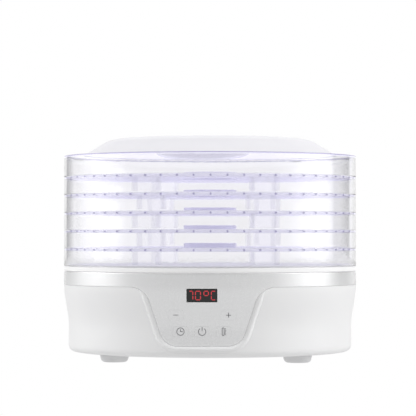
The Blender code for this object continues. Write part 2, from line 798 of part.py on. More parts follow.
def tray_helpers(low, high, floor_bottom):
    """The slots of a tray's floor and its hanging pillars, in the tray's own frame."""
    inner = slot_ring("tray_slots_inner", 8, *INNER_SLOTS, INNER_SLOT_WIDTH, low, high)
    outer = slot_ring("tray_slots_outer", 12, *OUTER_SLOTS, OUTER_SLOT_WIDTH, low, high)
    top = floor_bottom + TRAY_FLOOR / 2
    bottom = PILLAR_CLEARANCE
    pillars = pillar_blocks("pillars", PILLAR_WIDTH, 0.0, PILLAR_DEPTH, bottom, top)
    inside = PILLAR_WIDTH - 2 * PILLAR_WALL
    hollows = pillar_blocks("pillar_hollows", inside, PILLAR_WALL, PILLAR_DEPTH * 2, bottom - GAP, top + GAP)
    cut(pillars, hollows)
    hollows.parent = pillars
    return [inner, outer, pillars]


def pillar_blocks(name, width, start, end, low, high):
    """Boxes at the pillars' places, from one radial distance to another behind their faces."""
    boxes = []
    for angle in PILLAR_ANGLES:
        turn = Matrix.Rotation(math.radians(angle), 4, "Z")
        middle = Vector((0.0, -(PILLAR_RADIUS + (start + end) / 2), (low + high) / 2))
        boxes.append(((width, end - start, high - low), turn @ middle, turn))
    return blocks(name, "cutter", boxes)


def dome_points(drop):
    """The dome's outer line from the axis to its foot, moved in by a wall thickness."""
    crown = DOME_SHOULDER_RADIUS * 0.92
    shoulder = Vector((DOME_SHOULDER_RADIUS, DOME_SHOULDER_HEIGHT))
    points = []
    for k in range(4):
        r = crown * k / 3
        points.append((r, DOME_HEIGHT - (DOME_HEIGHT - DOME_SHOULDER_HEIGHT) * 0.5 * (r / crown) ** 2 - drop))
    top = Vector((crown, DOME_HEIGHT - (DOME_HEIGHT - DOME_SHOULDER_HEIGHT) * 0.5))
    corner = Vector((DOME_SHOULDER_RADIUS, top.y))
    for k in range(1, 3):
        t = k / 2
        bend = top * (1 - t) ** 2 + corner * 2 * t * (1 - t) + shoulder * t * t
        points.append((bend.x - drop * t, bend.y - drop * (1 - t / 2)))
    slant = math.hypot(DOME_LEAN, DOME_SHOULDER_HEIGHT) / DOME_SHOULDER_HEIGHT
    points.append((DOME_RADIUS - drop * slant, GAP))
    return points


def lid_dome():
    """Frosted dome of the lid: a shallow vented shell that stands on the skirt's ledge."""
    outer = [(r, LID_SKIRT + z) for r, z in dome_points(0.0)]
    inner = [(r, LID_SKIRT + z) for r, z in dome_points(LID_WALL)]
    dome = turned("lid_dome", outer + inner[::-1], "frosted_plastic", location=(0.0, 0.0, LID_BOTTOM))
    vents = slot_ring("lid_vents", VENT_COUNT, *VENT_SPAN, VENT_WIDTH, LID_SKIRT, LID_SKIRT + DOME_HEIGHT * 2)
    cut(dome, vents)
    vents.location.z += LID_BOTTOM


def lid_skirt():
    """Clear skirt of the lid, with a flat shoulder, a ledge for the dome and a scooped finger grip."""
    skirt_bottom = GAP / 2
    low = LID_SKIRT - LID_WALL
    profile = [
        (LEDGE_RADIUS, LID_SKIRT),
        (RADIUS, LID_SKIRT),
        (RADIUS, skirt_bottom),
        (RADIUS - LID_WALL, skirt_bottom),
        (RADIUS - LID_WALL, low),
        (LEDGE_RADIUS, low),
    ]
    skirt = turned("lid_skirt", profile, "clear_plastic", location=(0.0, 0.0, LID_BOTTOM))
    bowl = scoop("grip_bowl", 0.0)
    hollow = scoop("grip_hollow", LID_WALL)
    ceiling = LID_SKIRT - LID_WALL / 2
    width = 2 * GRIP_HALF_WIDTH
    clear_low, clear_high = (-width, -2 * RADIUS, ceiling), (width, 0.0, ceiling + width)
    clear = span_block("above_grip", "cutter", clear_low, clear_high)
    cut(bowl, clear)
    join(skirt, bowl)
    cut(skirt, hollow)
    for helper in (bowl, hollow, clear):
        helper.location.z += LID_BOTTOM


def scoop(name, shrink):
    """Half-lens bowl of the finger grip, smaller by a wall thickness for its hollow."""
    shape = bmesh.new()
    size = (GRIP_HALF_WIDTH - shrink, GRIP_HALF_DEPTH - shrink, GRIP_DROP + LID_WALL - shrink)
    bmesh.ops.create_uvsphere(shape, u_segments=16, v_segments=8, radius=1.0)
    bmesh.ops.scale(shape, vec=size, verts=shape.verts)
    bmesh.ops.translate(shape, vec=(0.0, -GRIP_CENTRE_RADIUS, LID_SKIRT), verts=shape.verts)
    return place(finished_mesh(shape, name, smooth=True), name, "cutter")


def motor():
    """Induction motor on the inlet side: can, cap, bushes and stator, with its turning parts."""
    bush_seat = BUSH_RADIUS + GAP
    inside = MOTOR_RADIUS - MOTOR_WALL
    turned(
        "motor_can",
        [
            (inside, MOTOR_TOP),
            (MOTOR_RADIUS, MOTOR_TOP),
            (MOTOR_RADIUS, MOTOR_BOTTOM),
            (bush_seat, MOTOR_BOTTOM),
            (bush_seat, MOTOR_BOTTOM + MOTOR_WALL),
            (inside, MOTOR_BOTTOM + MOTOR_WALL),
        ],
        "steel",
        segments=24,
    )
    ring("motor_cap", bush_seat, MOTOR_RADIUS, MOTOR_TOP + GAP, MOTOR_CAP_TOP, "steel")
    bore = SHAFT_RADIUS + GAP
    ring("motor_bush_lower", bore, BUSH_RADIUS, MOTOR_BOTTOM, MOTOR_BOTTOM + BUSH_LENGTH, "brass")
    ring("motor_bush_upper", bore, BUSH_RADIUS, MOTOR_CAP_TOP - BUSH_LENGTH, MOTOR_CAP_TOP, "brass")
    core_low = MOTOR_BOTTOM + BUSH_LENGTH + MOTOR_WALL
    core_high = MOTOR_CAP_TOP - BUSH_LENGTH - MOTOR_WALL
    ring("motor_stator", ROTOR_RADIUS + AIR_GAP, inside - GAP, core_low, core_high, "steel")
    ring("motor_rotor", bore, ROTOR_RADIUS, core_low, core_high, "steel")
    ring("motor_shaft", 0.0, SHAFT_RADIUS, MOTOR_BOTTOM, MOTOR_BOTTOM + SHAFT_LENGTH, "steel")


def ring(name, inner, outer, low, high, finish):
    """A plain turned ring, or a solid rod when its inner radius is nothing."""
    profile = [(inner, high), (outer, high), (outer, low), (inner, low)]
    return turned(name, profile, finish, segments=24)


def fan_impeller():
    """Axial impeller: a hub on the motor shaft and pitched blades."""
    top = FAN_BOTTOM + FAN_HUB_HEIGHT
    hub = ring("fan_impeller", SHAFT_RADIUS + GAP, FAN_HUB_RADIUS, FAN_BOTTOM, top, "black_plastic")
    root = FAN_HUB_RADIUS * 0.8
    size = (FAN_RADIUS - root, BLADE_CHORD, BLADE_THICKNESS)
    boxes = []
    for i in range(FAN_BLADES):
        turn = Matrix.Rotation(math.tau * i / FAN_BLADES, 4, "Z")
        pitch = Matrix.Rotation(math.radians(FAN_PITCH), 4, "X")
        middle = (FAN_BOTTOM + top) / 2
        centre = turn @ Vector(((FAN_RADIUS + root) / 2, 0.0, middle))
        boxes.append((size, centre, turn @ pitch))
    blades = blocks("fan_blades", "cutter", boxes)
    low, high = FAN_BOTTOM - BLADE_CHORD, top + BLADE_CHORD
    bore = rods("blade_bore", "cutter", [(0.0, 0.0)], FAN_HUB_RADIUS / 2, low, high)
    cut(blades, bore)
    join(hub, blades)


def motor_bracket():
    """Steel strap across the inlet that carries the motor, with its two screws."""
    half_width = BRACKET_WIDTH / 2
    low = (-BRACKET_HALF_LENGTH, -half_width, BRACKET_BOTTOM)
    high = (BRACKET_HALF_LENGTH, half_width, BRACKET_BOTTOM + BRACKET_THICKNESS)
    strap = span_block("motor_bracket", "steel", low, high)
    cut(strap, bpy.data.objects["bracket_screw_holes"])
    head = BRACKET_BOTTOM + BRACKET_THICKNESS + GAP
    for i, (x, y) in enumerate(bracket_places(), 1):
        screw(f"bracket_screw_{i}", (x, y, head), head - PLATE_BOTTOM - GAP)


def screw(name, place_at, shank, head_down=False):
    """A pan-head screw: its head rests on its place, and its shank goes the other way."""
    head = SCREW_HEAD_HEIGHT
    profile = [
        (0.0, head),
        (SCREW_HEAD_RADIUS * 0.7, head),
        (SCREW_HEAD_RADIUS, head * 0.6),
        (SCREW_HEAD_RADIUS, 0.0),
        (SCREW_RADIUS, 0.0),
        (SCREW_RADIUS, -shank),
        (0.0, -shank),
    ]
    obj = turned(name, profile, "steel", location=place_at, segments=12)
    if head_down:
        obj.rotation_euler = (math.pi, 0.0, 0.0)


def heater():
    """Crossed mica cards with a flat spiral of heating wire on top, and its two guards."""
    reach = DUCT_INSIDE - 5 * GAP
    middle = HEATER_BOTTOM + HEATER_HEIGHT / 2
    centre = (0.0, 0.0, middle)
    frame = blocks("heater_frame", "mica", [((2 * reach, MICA_THICKNESS, HEATER_HEIGHT), centre)])
    join(frame, blocks("mica_cross", "cutter", [((MICA_THICKNESS, 2 * reach, HEATER_HEIGHT), centre)]))
    steps = 12
    z = HEATER_TOP + GAP + COIL_WIRE_RADIUS
    points = []
    for i in range(COIL_TURNS * steps + 1):
        angle = math.tau * i / steps
        r = COIL_INNER_RADIUS + COIL_PITCH * i / steps
        points.append((r * math.cos(angle), r * math.sin(angle), z))
    tube("heater_coil", points, COIL_WIRE_RADIUS, "heating_wire")
    face = MICA_THICKNESS / 2 + GAP
    width, depth, height = CUTOUT_SIZE
    low = (CUTOUT_X - width / 2, face, middle - height / 2)
    span_block("thermal_cutout", "steel", low, (low[0] + width, face + depth, low[2] + height))
    sensor_place = [(SENSOR_X, face + 1.5 * SENSOR_RADIUS)]
    bottom = HEATER_BOTTOM + GAP
    rods("temperature_sensor", "black_plastic", sensor_place, SENSOR_RADIUS, bottom, HEATER_TOP, sides=10)


def power_board():
    """Mains board on its bosses at the rear, with its larger components."""
    half_w, half_d = POWER_BOARD_WIDTH / 2, POWER_BOARD_DEPTH / 2
    low = (-half_w, POWER_BOARD_Y - half_d, POWER_BOARD_BOTTOM)
    high = (half_w, POWER_BOARD_Y + half_d, POWER_BOARD_TOP)
    span_block("power_board", "circuit_board", low, high)
    top = POWER_BOARD_TOP + GAP

    def component(name, finish, x, y, size):
        w, d, h = size
        centre = (x, POWER_BOARD_Y + y)
        corner = (centre[0] - w / 2, centre[1] - d / 2, top)
        span_block(name, finish, corner, (centre[0] + w / 2, centre[1] + d / 2, top + h))

    component("power_transformer", "black_plastic", -0.024, -0.006, (0.026, 0.024, 0.020))
    component("heater_relay", "black_plastic", 0.004, -0.010, (0.019, 0.015, 0.016))
    component("filter_capacitor", "red_lead", 0.004, 0.010, (0.018, 0.008, 0.014))
    component("mains_fuse", "brass", 0.026, -0.012, (0.006, 0.020, 0.006))
    component("terminal_block", "white_plastic", 0.026, 0.012, (0.016, 0.010, 0.012))


def wiring():
    """Short internal leads: panel ribbon, heater lead and motor lead."""
    over_board = POWER_BOARD_TOP + 0.010
    ribbon = [
        (0.030, BOARD_Y + 2 * GAP + LEAD_RADIUS, 0.045),
        (0.045, -0.118, 0.040),
        (0.078, -0.070, 0.032),
        (0.084, 0.0, 0.028),
        (0.074, 0.060, 0.028),
        (0.052, 0.092, 0.030),
        (0.034, 0.100, over_board),
    ]
    heater_lead = [
        (-0.044, 0.096, over_board),
        (-0.060, 0.080, 0.036),
        (-0.070, 0.046, 0.050),
        (-0.066, 0.016, 0.064),
    ]
    motor_lead = [(0.012, 0.074, 0.030), (0.006, 0.070, 0.026), (0.0, 0.0655, 0.024), (-0.010, 0.0640, 0.022)]
    tube("panel_ribbon", smooth_route(ribbon), LEAD_RADIUS, "grey_ribbon")
    tube("heater_lead", smooth_route(heater_lead), LEAD_RADIUS, "red_lead")
    tube("motor_lead", smooth_route(motor_lead), LEAD_RADIUS, "red_lead")


def feet():
    """Four tapered feet with counterbored screws."""
    top = FOOT_HEIGHT - GAP
    profile = [
        (SCREW_HOLE_RADIUS, top),
        (FOOT_TOP_RADIUS, top),
        (FOOT_BOTTOM_RADIUS + FOOT_EDGE / 2, FOOT_EDGE),
        (FOOT_BOTTOM_RADIUS, 0.0),
        (COUNTERBORE_RADIUS, 0.0),
        (COUNTERBORE_RADIUS, COUNTERBORE_DEPTH),
        (SCREW_HOLE_RADIUS, COUNTERBORE_DEPTH),
    ]
    names = ("front_left", "front_right", "rear_left", "rear_right")
    head = COUNTERBORE_DEPTH - GAP
    reach = PLATE_TOP - head
    for name, (x, y) in zip(names, foot_places()):
        turned(f"foot_{name}", profile, "white_plastic", location=(x, y, 0.0), segments=16)
        screw(f"foot_screw_{name}", (x, y, head), reach, head_down=True)


def build():
    screw_holes = foot_screw_holes()
    base_housing(screw_holes)
    base_bottom(screw_holes)
    trim_panel(panel_openings())
    display_lens()
    for name, centre in BUTTONS.items():
        push_button(name, centre)
        tact_switch(name, centre)
    control_board()
    top_deck()
    outlet_grille()
    air_duct()
    motor()
    fan_impeller()
    motor_bracket()
    heater()
    power_board()
    wiring()
    cord_gland()
    feet()
    for number in range(TRAY_COUNT, 0, -1):
        tray(number, STACK_BOTTOM + (TRAY_COUNT - number) * TRAY_PITCH)
    lid_skirt()
    lid_dome()


build()
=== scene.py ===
"""The looks of a round food dehydrator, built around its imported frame.

Metres, +Z up, front towards -Y. Each section makes one piece or one group of like pieces, in the
order in which the real one goes together.
"""

import math

import bmesh
import bpy
import numpy as np
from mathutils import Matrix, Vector


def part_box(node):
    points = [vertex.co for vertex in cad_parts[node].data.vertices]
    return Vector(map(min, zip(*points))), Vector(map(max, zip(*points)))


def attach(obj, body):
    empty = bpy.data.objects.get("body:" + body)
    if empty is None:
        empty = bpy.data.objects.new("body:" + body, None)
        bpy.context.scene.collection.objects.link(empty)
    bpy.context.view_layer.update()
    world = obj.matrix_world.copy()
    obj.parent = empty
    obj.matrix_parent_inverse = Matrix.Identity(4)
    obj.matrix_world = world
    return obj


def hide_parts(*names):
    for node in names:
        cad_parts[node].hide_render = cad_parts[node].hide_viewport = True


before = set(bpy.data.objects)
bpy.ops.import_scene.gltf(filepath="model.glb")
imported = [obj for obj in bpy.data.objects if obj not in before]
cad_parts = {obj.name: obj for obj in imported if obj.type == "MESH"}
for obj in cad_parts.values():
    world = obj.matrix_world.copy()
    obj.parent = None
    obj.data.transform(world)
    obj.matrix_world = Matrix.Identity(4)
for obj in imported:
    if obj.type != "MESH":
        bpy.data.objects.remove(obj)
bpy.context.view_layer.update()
scene = bpy.context.scene

# ------------------------------------------------------------
# Where it is seen from: a long lens just above the lowest trays, a little to the right of the
# front, far enough away that the round body keeps its uprights upright.
EYE_DISTANCE = 2.4
EYE_TURN = math.radians(3.0)
EYE_HEIGHT = 0.1368
AIM_HEIGHT = 0.1643
AIM_SIDE = -0.0022
LENS = 189.0

eye_side = Vector((math.sin(EYE_TURN), -math.cos(EYE_TURN), 0.0))
eye_right = Vector((math.cos(EYE_TURN), math.sin(EYE_TURN), 0.0))
camera = bpy.data.objects.new("camera", bpy.data.cameras.new("camera"))
camera.data.lens = LENS
camera.location = eye_side * EYE_DISTANCE + Vector((0.0, 0.0, EYE_HEIGHT))
aim = eye_right * AIM_SIDE + Vector((0.0, 0.0, AIM_HEIGHT))
camera.rotation_euler = (aim - camera.location).to_track_quat("-Z", "Y").to_euler()
scene.collection.objects.link(camera)
scene.camera = camera
scene.view_settings.view_transform = "Standard"

# ------------------------------------------------------------
# The studio: a white cove lit from all round. Tall soft lamps stand at both sides, the side that it
# is seen from is dimmer, and a narrow dark gap is left between each lamp and the white behind. Above
# eye level the lamps grow stronger, by their own tone, and the top is even. LAMP_TURNS has degrees
# from the front and tones; the starts and ends are upward shares of a direction. The white floor
# is seen brighter than it lights.
FRONT = 0.56
DARK = 0.14
TOP_TONE = 1.3
LAMP_RISE = 1.0
FLOOR_LIGHT = 0.72
LAMP_TURNS = [
    (-180, 1.0), (-154, 1.0), (-150, DARK * 2), (-140, DARK * 2), (-136, 0.5), (-125, 1.0),
    (-110, 1.7), (-95, 2.0), (-80, 1.5), (-69, 0.95), (-65, FRONT), (-6, FRONT * 0.92), (53, FRONT),
    (58, 0.8), (70, 1.2), (82, 1.9), (95, 2.2), (105, 1.8), (113, 1.2), (117, DARK), (143, DARK),
    (148, 1.0), (180, 1.0),
]
RISE_START, RISE_END = 0.06, 0.25
TOP_START, TOP_END = 0.45, 0.8


def add_node(tree, kind, **values):
    """A shader node with its settings and unlinked inputs by name; an underscore is a space."""
    node = tree.nodes.new(f"ShaderNode{kind}")
    for key, value in values.items():
        if hasattr(node, key):
            setattr(node, key, value)
        else:
            node.inputs[key.replace("_", " ")].default_value = value
    return node


def maths(tree, operation, second=0.5):
    """A Math node with its second value."""
    node = add_node(tree, "Math", operation=operation)
    node.inputs[1].default_value = second
    return node


def wire(tree, *links):
    """Joins sockets. A link is a node, the name or place of its output, a node and its input."""
    for source, output, target, entry in links:
        tree.links.new(source.outputs[output], target.inputs[entry])


def tone(value):
    """An even grey, as a colour."""
    return (value, value, value, 1.0)


world = bpy.data.worlds.new("studio")
world.use_nodes = True
scene.world = world
sky = world.node_tree
way = add_node(sky, "TexCoord")
parts = add_node(sky, "SeparateXYZ")
to_front = maths(sky, "MULTIPLY", -1.0)
turn_from_front = maths(sky, "ARCTAN2")
share = add_node(sky, "MapRange", From_Min=-math.pi, From_Max=math.pi)
lamps = add_node(sky, "ValToRGB")
overhead = add_node(sky, "MapRange", interpolation_type="SMOOTHSTEP", From_Min=TOP_START, From_Max=TOP_END)
above_level = add_node(sky, "MapRange", interpolation_type="SMOOTHSTEP", From_Min=RISE_START,
                       From_Max=RISE_END, To_Max=LAMP_RISE)
risen = add_node(sky, "Mix", data_type="RGBA", blend_type="MULTIPLY")
with_top = add_node(sky, "Mix", data_type="RGBA")
seen = add_node(sky, "Mix", data_type="RGBA")
ray = add_node(sky, "LightPath")
with_top.inputs["B"].default_value = tone(TOP_TONE)
seen.inputs["B"].default_value = tone(1.0)
wire(
    sky,
    (way, "Generated", parts, 0),
    (parts, "Y", to_front, 0),
    (parts, "X", turn_from_front, 0),
    (to_front, 0, turn_from_front, 1),
    (turn_from_front, 0, share, "Value"),
    (share, "Result", lamps, "Fac"),
    (parts, "Z", overhead, "Value"),
    (overhead, "Result", with_top, "Factor"),
    (parts, "Z", above_level, "Value"),
    (above_level, "Result", risen, "Factor"),
    (lamps, "Color", risen, "A"),
    (lamps, "Color", risen, "B"),
    (risen, "Result", with_top, "A"),
    (ray, "Is Camera Ray", seen, "Factor"),
    (with_top, "Result", seen, "A"),
    (seen, "Result", sky.nodes["Background"], "Color"),
)
stops = lamps.color_ramp.elements
for place, (degrees, brightness) in enumerate(LAMP_TURNS):
    stop = stops[place] if place < 2 else stops.new(1.0)
    stop.position = (degrees + 180) / 360
    stop.color = tone(brightness)

FLOOR_HALF = 8.0
FLOOR_DROP = 0.0004
floor_mesh = bpy.data.meshes.new("floor")
floor_signs = ((-1, -1), (1, -1), (1, 1), (-1, 1))
floor_corners = [(x * FLOOR_HALF, y * FLOOR_HALF, -FLOOR_DROP) for x, y in floor_signs]
floor_mesh.from_pydata(floor_corners, [], [(0, 1, 2, 3)])
floor = bpy.data.objects.new("floor", floor_mesh)
scene.collection.objects.link(floor)
floor_finish = bpy.data.materials.new("white_floor")
floor_finish.use_nodes = True
floor_tree = floor_finish.node_tree
floor_tree.nodes.remove(floor_tree.nodes["Principled BSDF"])
floor_ray = add_node(floor_tree, "LightPath")
glow_strength = add_node(floor_tree, "MapRange", To_Min=FLOOR_LIGHT, To_Max=1.0)
glow = add_node(floor_tree, "Emission", Color=tone(1.0))
wire(
    floor_tree,
    (floor_ray, "Is Camera Ray", glow_strength, "Value"),
    (glow_strength, "Result", glow, "Strength"),
    (glow, 0, floor_tree.nodes["Material Output"], "Surface"),
)
floor_mesh.materials.append(floor_finish)

# ------------------------------------------------------------
# Base housing: a round white tub, injection moulded in ABS. Its wall leans out in a soft S up to
# the band, and its top edge dips at the front round the control apron, with a soft bead there.
GAP = 0.0003
WALL = 0.0025
HOUSING_INSET = 0.0052
FLARE_START = 0.036
BOTTOM_FILLET = 0.007
FLANGE_RADIUS = 0.112
APRON_SIDE = (0.052, 0.0565)
APRON_LEAN = 1 / 3
APRON_FLARE = 0.022
APRON_CORNER = 0.019
SEAM_STEP = 0.0012
REAR_STEP = math.radians(1.5)
BAND_LIP = 0.0005
APRON_LIP = 0.0064
BEAD_HEIGHT = 0.0018
LIP_GROWTH = 0.012

panel_low, panel_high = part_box("trim_panel")
housing_low, housing_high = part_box("base_housing")
radius = panel_high.x
band_top = panel_high.z
band_bottom = housing_high.z + GAP
apron_bottom = panel_low.z - GAP
foot_height = housing_low.z


def smooth(share):
    """Eases a share from 0 to 1: three times its square less twice its cube."""
    share = np.clip(share, 0.0, 1.0)
    return share * share * (3 - 2 * share)


def side_radius(height):
    """Outer radius of the base at a height: the housing's own, then a smooth flare to the band."""
    lean = smooth((np.asarray(height) - FLARE_START) / (band_bottom - FLARE_START))
    return radius - HOUSING_INSET * (1 - lean)


def rounded(corners, steps=5, side_steps=1, hold=0.0004):
    """An outline through (u, v, radius) corners, each replaced by an arc of its own radius.

    An arc runs between the points radius / tan(half the corner's angle) back along its two sides.
    Its directions are blended by the sines of the parts of the turn. The straight runs between
    arcs are cut into side_steps lengths, and a point near each end holds them flat when smooth.
    """
    spots = np.array([corner[:2] for corner in corners], float)
    arcs = []
    for i, corner in enumerate(corners):
        size = corner[2]
        if size <= 0.0:
            arcs.append(spots[i : i + 1])
            continue
        back = spots[i - 1] - spots[i]
        on = spots[(i + 1) % len(spots)] - spots[i]
        back, on = back / np.linalg.norm(back), on / np.linalg.norm(on)
        half = math.acos(back @ on) / 2
        centre = spots[i] + (back + on) / np.linalg.norm(back + on) * size / math.sin(half)
        first = (spots[i] + back * size / math.tan(half) - centre) / size
        last = (spots[i] + on * size / math.tan(half) - centre) / size
        turn = math.pi - 2 * half
        t = np.linspace(0.0, 1.0, steps + 1)[:, None]
        from_centre = size * (np.sin((1 - t) * turn) * first + np.sin(t * turn) * last)
        arcs.append(centre + from_centre / math.sin(turn))
    runs = []
    for arc, following in zip(arcs, arcs[1:] + arcs[:1]):
        span = following[0] - arc[-1]
        shares = np.linspace(0.0, 1.0, side_steps + 1)[1:-1]
        if hold > 0.0:
            near = min(hold / max(np.linalg.norm(span), 1e-9), 0.25)
            shares = np.concatenate([[near], near + (1 - 2 * near) * shares, [1 - near]])
        runs += [arc, arc[-1] + span * shares[:, None]]
    return np.vstack(runs)


def seam_line():
    """Angles round the body and heights of the seam between housing and panel, left to right.

    Seen from the front it is level, rounds the flare, falls along the leaning side, rounds the
    corner and crosses under the apron, and then the same in mirror. It is cut into equal steps,
    put on the wall by sin(angle) = x / side radius, and carried level round the rear.
    """
    def side(z):
        return APRON_SIDE[0] + (z - APRON_SIDE[1]) * APRON_LEAN

    top, bottom = band_bottom - GAP, apron_bottom
    reach = side(top) + 2 * APRON_FLARE
    right = [(side(bottom), bottom, APRON_CORNER), (side(top), top, APRON_FLARE), (reach, top, 0.0)]
    left = [(-x, z, size) for x, z, size in reversed(right)]
    line = rounded(left + right, steps=24, hold=0.0)
    lengths = np.insert(np.cumsum(np.linalg.norm(np.diff(line, axis=0), axis=1)), 0, 0.0)
    even = np.linspace(0.0, lengths[-1], int(lengths[-1] / SEAM_STEP))
    x, z = np.interp(even, lengths, line[:, 0]), np.interp(even, lengths, line[:, 1])
    front = np.arcsin(x / side_radius(z))
    end = front[-1]
    rear = np.linspace(end, math.tau - end, int((math.tau - 2 * end) / REAR_STEP))[1:-1]
    return np.append(front, rear), np.append(z, np.full(len(rear), top))


seam_angle, seam_height = seam_line()
turn_round = math.tau * radius
seam_run = seam_angle * radius
arc_run = np.hstack([seam_run[-1] - turn_round, seam_run, seam_run[0] + turn_round])
run = arc_run[2:] - arc_run[:-2]
rise = np.roll(seam_height, -1) - np.roll(seam_height, 1)
seam_across, seam_down = rise / np.hypot(run, rise), -run / np.hypot(run, rise)


def round_body(angle, r, height):
    """Points at angles round the body from its front: x = r sin a, y = -r cos a, z = height."""
    r, height, angle = np.broadcast_arrays(r, height, angle)
    return np.stack([r * np.sin(angle), -r * np.cos(angle), height], axis=-1)


def beside_seam(away, depth):
    """Points of the wall at a distance from the seam, on the housing's side, sunk by a depth."""
    height = seam_height + seam_down * away
    return round_body(seam_angle + seam_across * away / radius, side_radius(height) - depth, height)


def skin(points, ring_rows=False):
    """Four-sided faces over a grid of points, rows by columns, whose columns go round and meet.

    A face runs from a point down to the next row and on to the next column. That turns it outwards
    where rows run down an outer side and columns go anticlockwise for someone who looks along
    them. ring_rows also joins the last row to the first.
    """
    points = np.asarray(points)
    rows, columns = points.shape[:2]
    index = np.arange(rows * columns).reshape(rows, columns)
    index = np.hstack([index, index[:, :1]])
    if ring_rows:
        index = np.vstack([index, index[:1]])
    quads = np.stack([index[:-1, :-1], index[1:, :-1], index[1:, 1:], index[:-1, 1:]], axis=-1)
    return points.reshape(-1, 3), quads.reshape(-1, 4)


WELD = 0.000002
CREASE = math.radians(30)


def shade(mesh):
    """Shades a mesh smooth but for its edges of more than the crease angle."""
    mesh.shade_smooth()
    mesh.set_sharp_from_angle(angle=CREASE)


def piece_mesh(name, skins):
    """One mesh from several skins, with poles welded and round parts shaded smooth."""
    starts = np.cumsum([0] + [len(points) for points, _ in skins[:-1]])
    points = np.vstack([points for points, _ in skins])
    quads = np.vstack([quads + start for (_, quads), start in zip(skins, starts)])
    mesh = bpy.data.meshes.new(name)
    mesh.vertices.add(len(points))
    mesh.vertices.foreach_set("co", points.astype(np.float32).ravel())
    mesh.loops.add(quads.size)
    mesh.loops.foreach_set("vertex_index", quads.astype(np.int32).ravel())
    mesh.polygons.add(len(quads))
    mesh.polygons.foreach_set("loop_start", np.arange(0, quads.size, 4, dtype=np.int32))
    mesh.update(calc_edges=True)
    shape = bmesh.new()
    shape.from_mesh(mesh)
    bmesh.ops.remove_doubles(shape, verts=shape.verts, dist=WELD)
    shape.to_mesh(mesh)
    shape.free()
    shade(mesh)
    return mesh


def moulding(name, skins, finish, body, stands_for=()):
    """A piece from its skins, with its finish, riding on a body and standing for CAD nodes."""
    obj = bpy.data.objects.new(name, piece_mesh(name, skins))
    scene.collection.objects.link(obj)
    obj.data.materials.append(finish)
    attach(obj, body)
    if stands_for:
        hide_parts(*stands_for)
    return obj


def effect_group(name, inputs, outputs):
    """A node group with its sockets, as (label, kind), and the nodes its values come and go by."""
    group = bpy.data.node_groups.new(name, "ShaderNodeTree")
    for in_out, sockets in (("INPUT", inputs), ("OUTPUT", outputs)):
        for label, kind in sockets:
            group.interface.new_socket(name=label, in_out=in_out, socket_type=f"NodeSocket{kind}")
    return group, group.nodes.new("NodeGroupInput"), group.nodes.new("NodeGroupOutput")


def moulded_surface_group():
    """The look of moulded plastic: slow drifts of tone, and a fine grain that moves the gloss.

    Colour is a blend of the two colours by slow noise, Roughness is the plain value plus the
    spread times the grain less a half, and Height is the grain itself.
    """
    sizes = [(label, "Float") for label in ("Patch Size", "Grain Size", "Gloss Loss", "Spread")]
    group, given, result = effect_group(
        "moulded_surface",
        [("Position", "Vector"), ("Colour", "Color"), ("Drift", "Color")] + sizes,
        [("Colour", "Color"), ("Roughness", "Float"), ("Height", "Float")],
    )
    noises = []
    for size, detail in (("Patch Size", 2.0), ("Grain Size", 3.0)):
        per_metre = maths(group, "DIVIDE")
        per_metre.inputs[0].default_value = 1.0
        noise = add_node(group, "TexNoise", Detail=detail)
        wire(
            group,
            (given, size, per_metre, 1),
            (given, "Position", noise, "Vector"),
            (per_metre, 0, noise, "Scale"),
        )
        noises.append(noise)
    drift, grain = noises
    spread_noise = add_node(group, "MapRange", From_Min=0.3, From_Max=0.7)
    blend = add_node(group, "Mix", data_type="RGBA")
    centred = maths(group, "SUBTRACT", 0.5)
    scaled = maths(group, "MULTIPLY_ADD")
    wire(
        group,
        (drift, "Fac", spread_noise, "Value"),
        (spread_noise, "Result", blend, "Factor"),
        (given, "Colour", blend, "A"),
        (given, "Drift", blend, "B"),
        (grain, "Fac", centred, 0),
        (centred, 0, scaled, 0),
        (given, "Spread", scaled, 1),
        (given, "Gloss Loss", scaled, 2),
        (blend, "Result", result, "Colour"),
        (scaled, 0, result, "Roughness"),
        (grain, "Fac", result, "Height"),
    )
    return group


MOULDED_SURFACE = moulded_surface_group()


def moulded_finish(name, colour, drift, patch=0.03, grain=0.001, roughness=0.12, spread=0.05,
                   relief=0.00002, **sockets):
    """A Principled finish over the moulded surface; other sockets are plain values by name.

    The sizes of its patches and grain and the height of its relief are in metres.
    """
    material = bpy.data.materials.new(name)
    material.use_nodes = True
    tree = material.node_tree
    shader = tree.nodes["Principled BSDF"]
    for key, value in sockets.items():
        shader.inputs[key.replace("_", " ")].default_value = value
    place = add_node(tree, "TexCoord")
    surface = add_node(tree, "Group", node_tree=MOULDED_SURFACE)
    settings = {"Colour": (*colour, 1.0), "Drift": (*drift, 1.0), "Patch Size": patch,
                "Grain Size": grain, "Gloss Loss": roughness, "Spread": spread}
    for key, value in settings.items():
        surface.inputs[key].default_value = value
    bump = add_node(tree, "Bump", Strength=0.5, Distance=relief)
    wire(
        tree,
        (place, "Object", surface, "Position"),
        (surface, "Colour", shader, "Base Color"),
        (surface, "Roughness", shader, "Roughness"),
        (surface, "Height", bump, "Height"),
        (bump, "Normal", shader, "Normal"),
    )
    return material


white_plastic = moulded_finish(
    "white_plastic", (0.93, 0.93, 0.933), (0.91, 0.91, 0.917), 0.045, 0.0006, 0.34, 0.10,
    Coat_Weight=0.12, Coat_Roughness=0.2,
)

lip = BAND_LIP + (APRON_LIP - BAND_LIP) * smooth((band_bottom - seam_height) / LIP_GROWTH)
housing_radius = radius - HOUSING_INSET
fillet_top = foot_height + BOTTOM_FILLET
bead = BEAD_HEIGHT * (lip - BAND_LIP) / (APRON_LIP - BAND_LIP)
